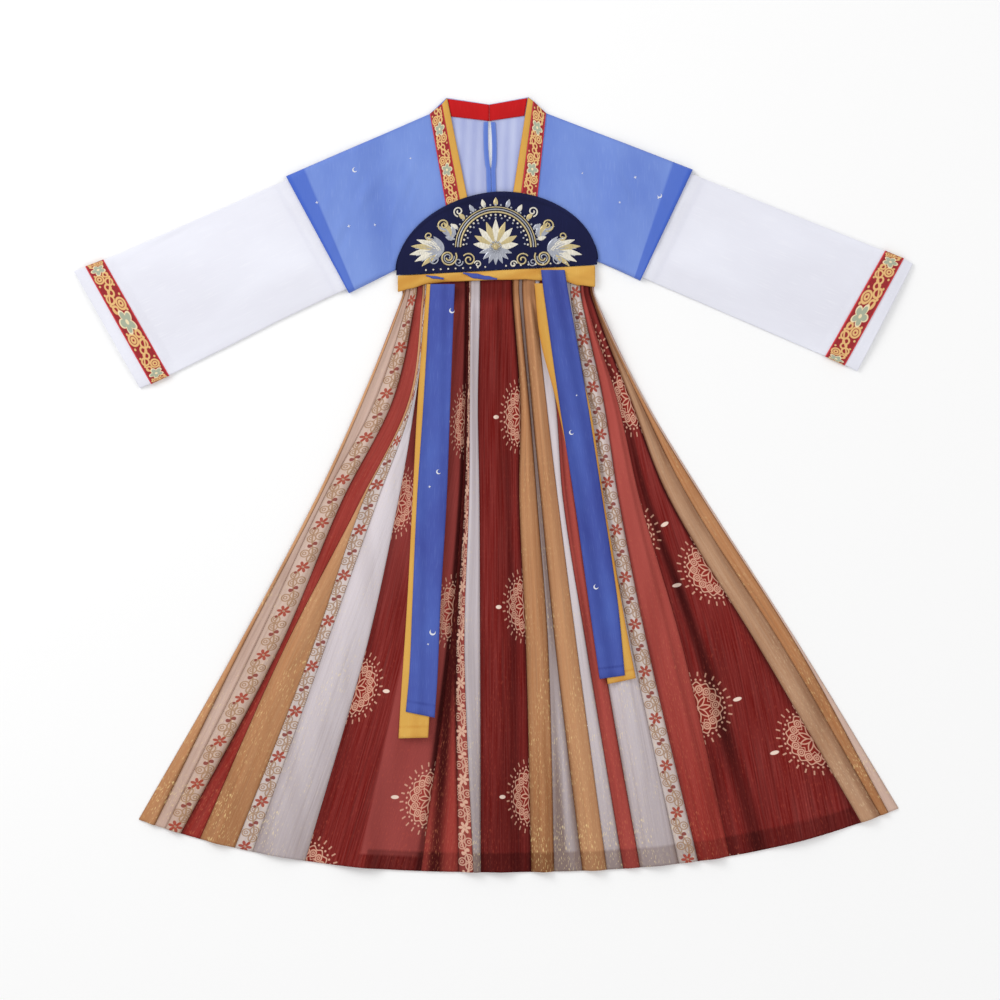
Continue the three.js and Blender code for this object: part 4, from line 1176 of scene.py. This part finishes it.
makeSheet("sash_front_cloth", 150, 20, sashPlace, 1.0, "sash_front", "yellow_cloth", yellowCloth, (268, 27),
          uv=lambda s, t: (s * 268, t * 27),
          attributes={"shade": lambda s, t, spot: clamp(
              0.25 + 0.35 * math.sin(spot[0] * 0.075 + t * 4.2 + 2.6)
              + 0.5 * bell((1 - t) * 4) - 0.3 * ease(spot[0], 80, 96))})
twists = {
    "left": [(-91, -2, 1.5), (-80, -3.5, 4), (-67, -6.5, 2.5)],
    "right": [(-41, -1, 2), (-25, -3, 7), (-9, -7, 5.5), (5, -11, 2)],
}
for name, rows in twists.items():
    def twistPlace(s, t, rows=rows):
        x = mix(rows[0][0], rows[-1][0], s)
        for (x0, o0, w0), (x1, o1, w1) in zip(rows, rows[1:]):
            if x <= x1 + 1e-6:
                f = ease(x, x0, x1)
                over, width = mix(o0, o1, f), mix(w0, w1, f)
                break
        return x, waistY(x) + over - t * width, layer["twist"] + 0.8 * math.sin(math.pi * t) ** 0.6

    span = rows[-1][0] - rows[0][0]
    makeSheet(f"sash_twist_{name}_cloth", 30, 8, twistPlace, 0.6, f"sash_twist_{name}", "ribbon_blue",
              ribbonCloth, (span * 1.05, 10.5),
              attributes={"shade": lambda s, t, spot: 0.5 * bell(t * 3) + 0.4 * bell((1 - t) * 3)},
              restsOn=["sash_front_cloth"])


def sashBackPlace(s, t):
    x = mix(-124, 134, s)
    return x, waistY(x) - t * sash["backWidth"], layer["back"]


makeSheet("sash_back_cloth", 60, 8, sashBackPlace, 0.8, "sash_back", "yellow_cloth", yellowCloth, (258, 20),
          attributes=flatShade)
print("sash made")

# hanging ribbons
ribbons = {
    "ribbon_yellow_left": {"on": ["skirt_medallion_left_cloth"], "cloth": yellowCloth, "slot": "yellow_cloth",
        "stack": 0, "skew": 1, "rows": [
            (270, -90, -53), (114, -102, -63), (-21, -109, -68),
            (-156, -116, -76), (-291, -125, -85), (-342, -128, -88)]},
    "ribbon_blue_left": {"on": ["ribbon_yellow_left_cloth"], "cloth": ribbonCloth, "slot": "ribbon_blue",
        "stack": 1.2, "skew": -8, "rows": [
            (270, -85, -52), (114, -94, -58), (-21, -103, -63),
            (-156, -109, -71), (-250, -113, -75), (-306, -118, -79)]},
    "ribbon_yellow_right": {"on": ["skirt_red_right_cloth"], "cloth": yellowCloth, "slot": "yellow_cloth",
        "stack": 0, "skew": 8, "rows": [
            (271, 55, 90), (195, 63, 102), (114, 84, 128),
            (-21, 112, 149), (-156, 134, 172), (-269, 154, 192)]},
    "ribbon_blue_right": {"on": ["ribbon_yellow_right_cloth"], "cloth": ribbonCloth, "slot": "ribbon_blue",
        "stack": 1.2, "skew": 5, "rows": [
            (289, 64, 96), (264, 67, 100), (114, 88, 126),
            (-21, 109, 147), (-156, 128, 167), (-262, 143, 177)]},
}


def ribbonBed(name):
    pair = "left" if "left" in name else "right"
    leftKnots = [(row[1], row[0]) for row in ribbons["ribbon_yellow_" + pair]["rows"]]
    rightKnots = [(row[2], row[0]) for row in ribbons["ribbon_blue_" + pair]["rows"]]
    top, low = 300, -350
    heights = []
    for k in range(66):
        y = mix(top, low, k / 65)
        left, right = lineAt(leftKnots, min(y, leftKnots[0][1])), lineAt(rightKnots, min(y, rightKnots[0][1]))
        highest = layer["sash"] + 1.2 if y > 262 else 0
        if y < 285:
            across = [mix(left - 2, right + 4, j / 12) for j in range(13)]
            highest = max([highest] + [skirtTop(x, min(y, 276)) for x in across])
        heights.append(highest)
    smooth = []
    for k in range(66):
        near = heights[max(k - 1, 0):k + 2]
        smooth.append(max(near))
    return lambda y: sampleRow(smooth, (top - y) / (top - low))


def sampleRow(values, share):
    place = clamp(share) * (len(values) - 1)
    k = min(int(place), len(values) - 2)
    return mix(values[k], values[k + 1], place - k)


beds = {side: ribbonBed("ribbon_" + side) for side in ("left", "right")}
for name, plan in ribbons.items():
    bed = beds["left" if "left" in name else "right"]
    leftKnots = [(row[1], row[0]) for row in plan["rows"]]
    rightKnots = [(row[2], row[0]) for row in plan["rows"]]
    top, low = plan["rows"][0][0], plan["rows"][-1][0]

    def ribbonPlace(s, t, plan=plan, bed=bed, leftKnots=leftKnots, rightKnots=rightKnots, top=top, low=low):
        y = mix(top, low, t)
        x = mix(lineAt(leftKnots, y), lineAt(rightKnots, y), s)
        slant = s * plan["skew"] * t ** 8
        soft = 0.5 * math.sin(s * 9 + y * 0.01 + plan["stack"]) * bell(2 * s - 1)
        soft += 0.4 * noise.noise(Vector((x * 0.05, y * 0.012, plan["stack"])))
        edge = 0.35 * (1 - math.sqrt(clamp(min(s, 1 - s) * 16)))
        endHem = 0.3 * ease(t, 0.975, 0.985)
        return x, y + slant, bed(y) + 0.9 + plan["stack"] + max(soft, -0.1) - edge + endHem

    length = (top - low) * 1.03
    makeSheet(name + "_cloth", 22, 200, ribbonPlace, 0.5, name, plan["slot"], plan["cloth"], (39, length),
              # painted shade along the edges, the ends and the ripples, and a darker tone on the right-hand
              # pair
              attributes={"shade": lambda s, t, spot: clamp(0.5 * bell(s * 14) + 0.5 * bell((1 - s) * 14)
                          + 0.35 * bell((1 - t) * 60) + 0.5 * bell((t - 0.975) * 200)
                          + 0.25 * math.sin(s * 9 + spot[1] * 0.01) + (0.35 if spot[0] > 0 else 0.0))},
              restsOn=plan["on"])
print("ribbons made")

# white under-sleeves and cuff ribbons
sleeveTube = {"height": 3.6, "crown": 2.2}
cuffLift = 1.5
sleeves = {
    "left": [((-206, 441), (-176, 274), 1.3), ((-283, 409), (-202, 262), 1.3), ((-298, 403), (-216, 256), 0),
             ((-370, 371), (-290, 221), 0), ((-440, 340), (-357, 187), 0), ((-512, 309), (-424, 154), 0),
             ((-525, 303), (-437, 148), cuffLift), ((-551, 293), (-463, 136), cuffLift),
             ((-566, 288), (-477, 130), 0)],
    "right": [((190, 451), (177, 289), 1.3), ((273, 417), (205, 278), 1.3), ((288, 411), (220, 271), 0),
              ((360, 382), (288, 242), 0), ((435, 352), (362, 210), 0), ((513, 321), (434, 179), 0),
              ((527, 315), (447, 174), cuffLift), ((554, 304), (475, 161), cuffLift),
              ((566, 298), (491, 153), 0)],
}
# soft creases across the sleeve: along share, across share, height, half widths
sleeveCreases = [(0.3, 0.35, 0.9, 0.14, 0.12), (0.45, 0.6, -0.8, 0.12, 0.08), (0.6, 0.3, 0.8, 0.16, 0.1),
                 (0.7, 0.7, 0.9, 0.12, 0.14), (0.5, 0.15, -0.6, 0.1, 0.06), (0.82, 0.5, -0.6, 0.1, 0.2)]


def sleeveSpot(rows, along):
    place = clamp(along) * (len(rows) - 1)
    k = min(int(place), len(rows) - 2)
    f = place - k
    (topA, lowA, baseA), (topB, lowB, baseB) = rows[k], rows[k + 1]
    return ([mix(p, q, f) for p, q in zip(topA, topB)], [mix(p, q, f) for p, q in zip(lowA, lowB)],
            mix(baseA, baseB, ease(f, 0, 1)))


def flatLoop(rows, around, along, grow=0.0, creased=True):
    top, low, base = sleeveSpot(rows, along)
    dx, dy = low[0] - top[0], low[1] - top[1]
    half = math.hypot(dx, dy) / 2
    # the upper half of the loop runs top to bottom on the near side, then back underneath
    upper = around < 0.5
    f = around * 2 if upper else 2 - around * 2
    across = -math.cos(math.pi * f)
    across = math.copysign(abs(across) ** 0.9, across)
    rounding = math.sqrt(clamp(1 - across * across)) ** 0.35
    middle = base + sleeveTube["height"] / 2
    reach = (sleeveTube["height"] / 2 + grow) * rounding
    z = middle + (reach if upper else -reach)
    if upper:
        z += sleeveTube["crown"] * (1 - across * across)
        if creased:
            for a, c, size, longHalf, wideHalf in sleeveCreases:
                z += size * bell((along - a) / longHalf) * bell((f - c - 0.3 * (along - a)) / wideHalf)
    stretch = (half + grow) / half
    shift = across * stretch / 2
    return (top[0] + low[0]) / 2 + dx * shift, (top[1] + low[1]) / 2 + dy * shift, z


for name, rows in sleeves.items():
    axis = math.dist(rows[0][0], rows[-1][0])
    girth = 2 * math.dist(rows[3][0], rows[3][1])
    makeSheet(f"sleeve_{name}_cloth", 120, 130, lambda s, t, rows=rows: flatLoop(rows, s, t), 0.5,
              f"sleeve_{name}", "white_organza", whiteOrganza, (girth, axis * 1.02), closed=True,
              attributes={"shade": lambda s, t, spot: (
                  0.25 * bell((t - 0.22) * 20) + 0.4 * bell((s - 0.5) * 30) + (0.1 if spot[0] > 0 else 0.0))})

    def cuffPlace(s, t, rows=rows):
        along = mix(6.03 / 8, 6.97 / 8, t)
        return flatLoop(rows, s, along, 1.1, False)

    makeSheet(f"cuff_jacquard_{name}_cloth", 120, 12, cuffPlace, 0.7, f"cuff_jacquard_{name}",
              "jacquard_ribbon", jacquard, (girth, 25), closed=True,
              uv=lambda s, t, g=girth: ((t - 0.5) * 25, s * g), attributes=flatShade,
              restsOn=[f"sleeve_{name}_cloth"])
print("sleeves made")

# foil marks: small moons and stars scattered on the blue
foil = {"lift": 0.25, "moons": [(-187, 424, 3.4, 0.6), (-56, 234, 3.6, 0.9), (-74, 17, 3.2, 0.5),
                                (-82, -199, 4.2, 1.2),
                                (105, 70, 3.2, 0.6), (138, -138, 3.4, 0.8), (224, 389, 3.0, 2.0)],
        "stars": [(-238, 380, 2.4), (-195, 348, 2.6), (-160, 350, 2.2), (-86, -3, 2.2), (191, 414, 2.4),
                  (222, 386, 1.8), (-112, 440, 1.8), (170, 380, 2.0), (120, 420, 1.6),
                  (-88, -215, 1.8), (112, 120, 1.6)]}


def foilMaterial():
    # hot-stamped silver foil: bright and smooth, broken up by the weave below
    material, tree, shader = clothMaterial("silverFoilStamped", 0.3, 0.0, 0.6)
    shader.inputs["Metallic"].default_value = 0.3
    where = put(tree, "TexCoord", output=3)
    grain = put(tree, "TexNoise", put(tree, "Mapping", where, None, None, (900, 900, 900)))
    finishMaterial(tree, shader, blend(tree, grain, "#FFFFFF", "#D8DAE8"), grain, 0.0001, 0.3)
    return material


depsgraph = bpy.context.evaluated_depsgraph_get()


def surfaceHeight(x, y):
    hit, spot, *_ = bpy.context.scene.ray_cast(depsgraph, Vector((x * mm, y * mm, 0.2)), Vector((0, 0, -1)))
    return spot.z / mm if hit else 3.0


def outlineOf(kind, size, turn):
    points = []
    if kind == "moon":
        for k in range(13):
            a = math.pi * (0.25 + 1.5 * k / 12) + turn
            points.append((size * math.cos(a), size * math.sin(a)))
        for k in range(13):
            a = math.pi * (1.65 - 1.3 * k / 12) + turn
            points.append((size * 0.35 * math.cos(turn) + 0.78 * size * math.cos(a),
                           size * 0.35 * math.sin(turn) + 0.78 * size * math.sin(a)))
    else:
        for k in range(8):
            a = math.pi * k / 4 + turn
            reach = size if k % 2 == 0 else size * 0.32
            points.append((reach * math.cos(a), reach * math.sin(a)))
    return points


foilPieces = []
placed = [("moon", x, y, size, turn) for x, y, size, turn in foil["moons"]]
placed += [("star", x, y, size, 0.3) for x, y, size in foil["stars"]]
for kind, x, y, size, turn in placed:
    bpy.context.view_layer.update()
    depsgraph = bpy.context.evaluated_depsgraph_get()
    height = surfaceHeight(x, y) + foil["lift"]
    bpy.ops.object.select_all(action="DESELECT")
    count = 26 if kind == "moon" else 8
    bpy.ops.mesh.primitive_circle_add(vertices=count, radius=mm, fill_type="NGON", location=(0, 0, 0))
    mark = bpy.context.object
    for v, (dx, dy) in zip(mark.data.vertices, outlineOf(kind, size, turn)):
        v.co = ((x + dx) * mm, (y + dy) * mm, height * mm)
    mark.data.update()
    if mark.data.polygons[0].normal.z < 0:
        mark.data.flip_normals()
    shell = mark.modifiers.new("foil", "SOLIDIFY")
    shell.thickness = 0.15 * mm
    bpy.ops.object.modifier_apply(modifier=shell.name)
    foilPieces.append(mark)
joinPieces(foilPieces, "foil_marks", foilMaterial())
print("foil marks made")

# floor, light and camera
bpy.ops.object.select_all(action="DESELECT")
bpy.ops.mesh.primitive_plane_add(size=12, location=(0, 0, -0.0004))
floor = bpy.context.object
floor.name = "floor"
paper, paperTree, paperShader = clothMaterial("paperMatt", 0.95, 0.0, 0.1)
soft = put(paperTree, "TexNoise", None, None, 2.0, 2.0)
finishMaterial(paperTree, paperShader, blend(paperTree, soft, "#FFFFFF", "#FDFDFD"))
floor.data.materials.append(paper)

lamps = {
    "keyUpperLeft": ((-2.3, 1.9, 2.0), 2.0, 50, "#FFFFFF"),
    "fillRight": ((2.4, 0.4, 2.6), 3.0, 16, "#FFFFFF"),
    "fillLow": ((0.2, -2.6, 2.4), 2.6, 10, "#FFFFFF"),
}
for name, (spot, size, watts, code) in lamps.items():
    data = bpy.data.lights.new(name, "AREA")
    data.shape = "DISK"
    data.size = size
    data.energy = watts
    data.color = linear(code)[:3]
    lamp = bpy.data.objects.new(name, data)
    lamp.location = spot
    lamp.rotation_euler = (Vector((0, 0, 0)) - Vector(spot)).to_track_quat("-Z", "Y").to_euler()
    bpy.context.collection.objects.link(lamp)
world = bpy.data.worlds.new("studio")
world.use_nodes = True
world.node_tree.nodes["Background"].inputs[0].default_value = (1, 1, 1, 1)
world.node_tree.nodes["Background"].inputs[1].default_value = 0.66
bpy.context.scene.world = world
bpy.context.scene.view_settings.view_transform = "Standard"

lens = 120
viewWidth = 1.35
cameraData = bpy.data.cameras.new("camera")
cameraData.lens = lens
camera = bpy.data.objects.new("camera", cameraData)
camera.location = (0.0088, -0.0209, viewWidth * lens / 36)
bpy.context.collection.objects.link(camera)
bpy.context.scene.camera = camera
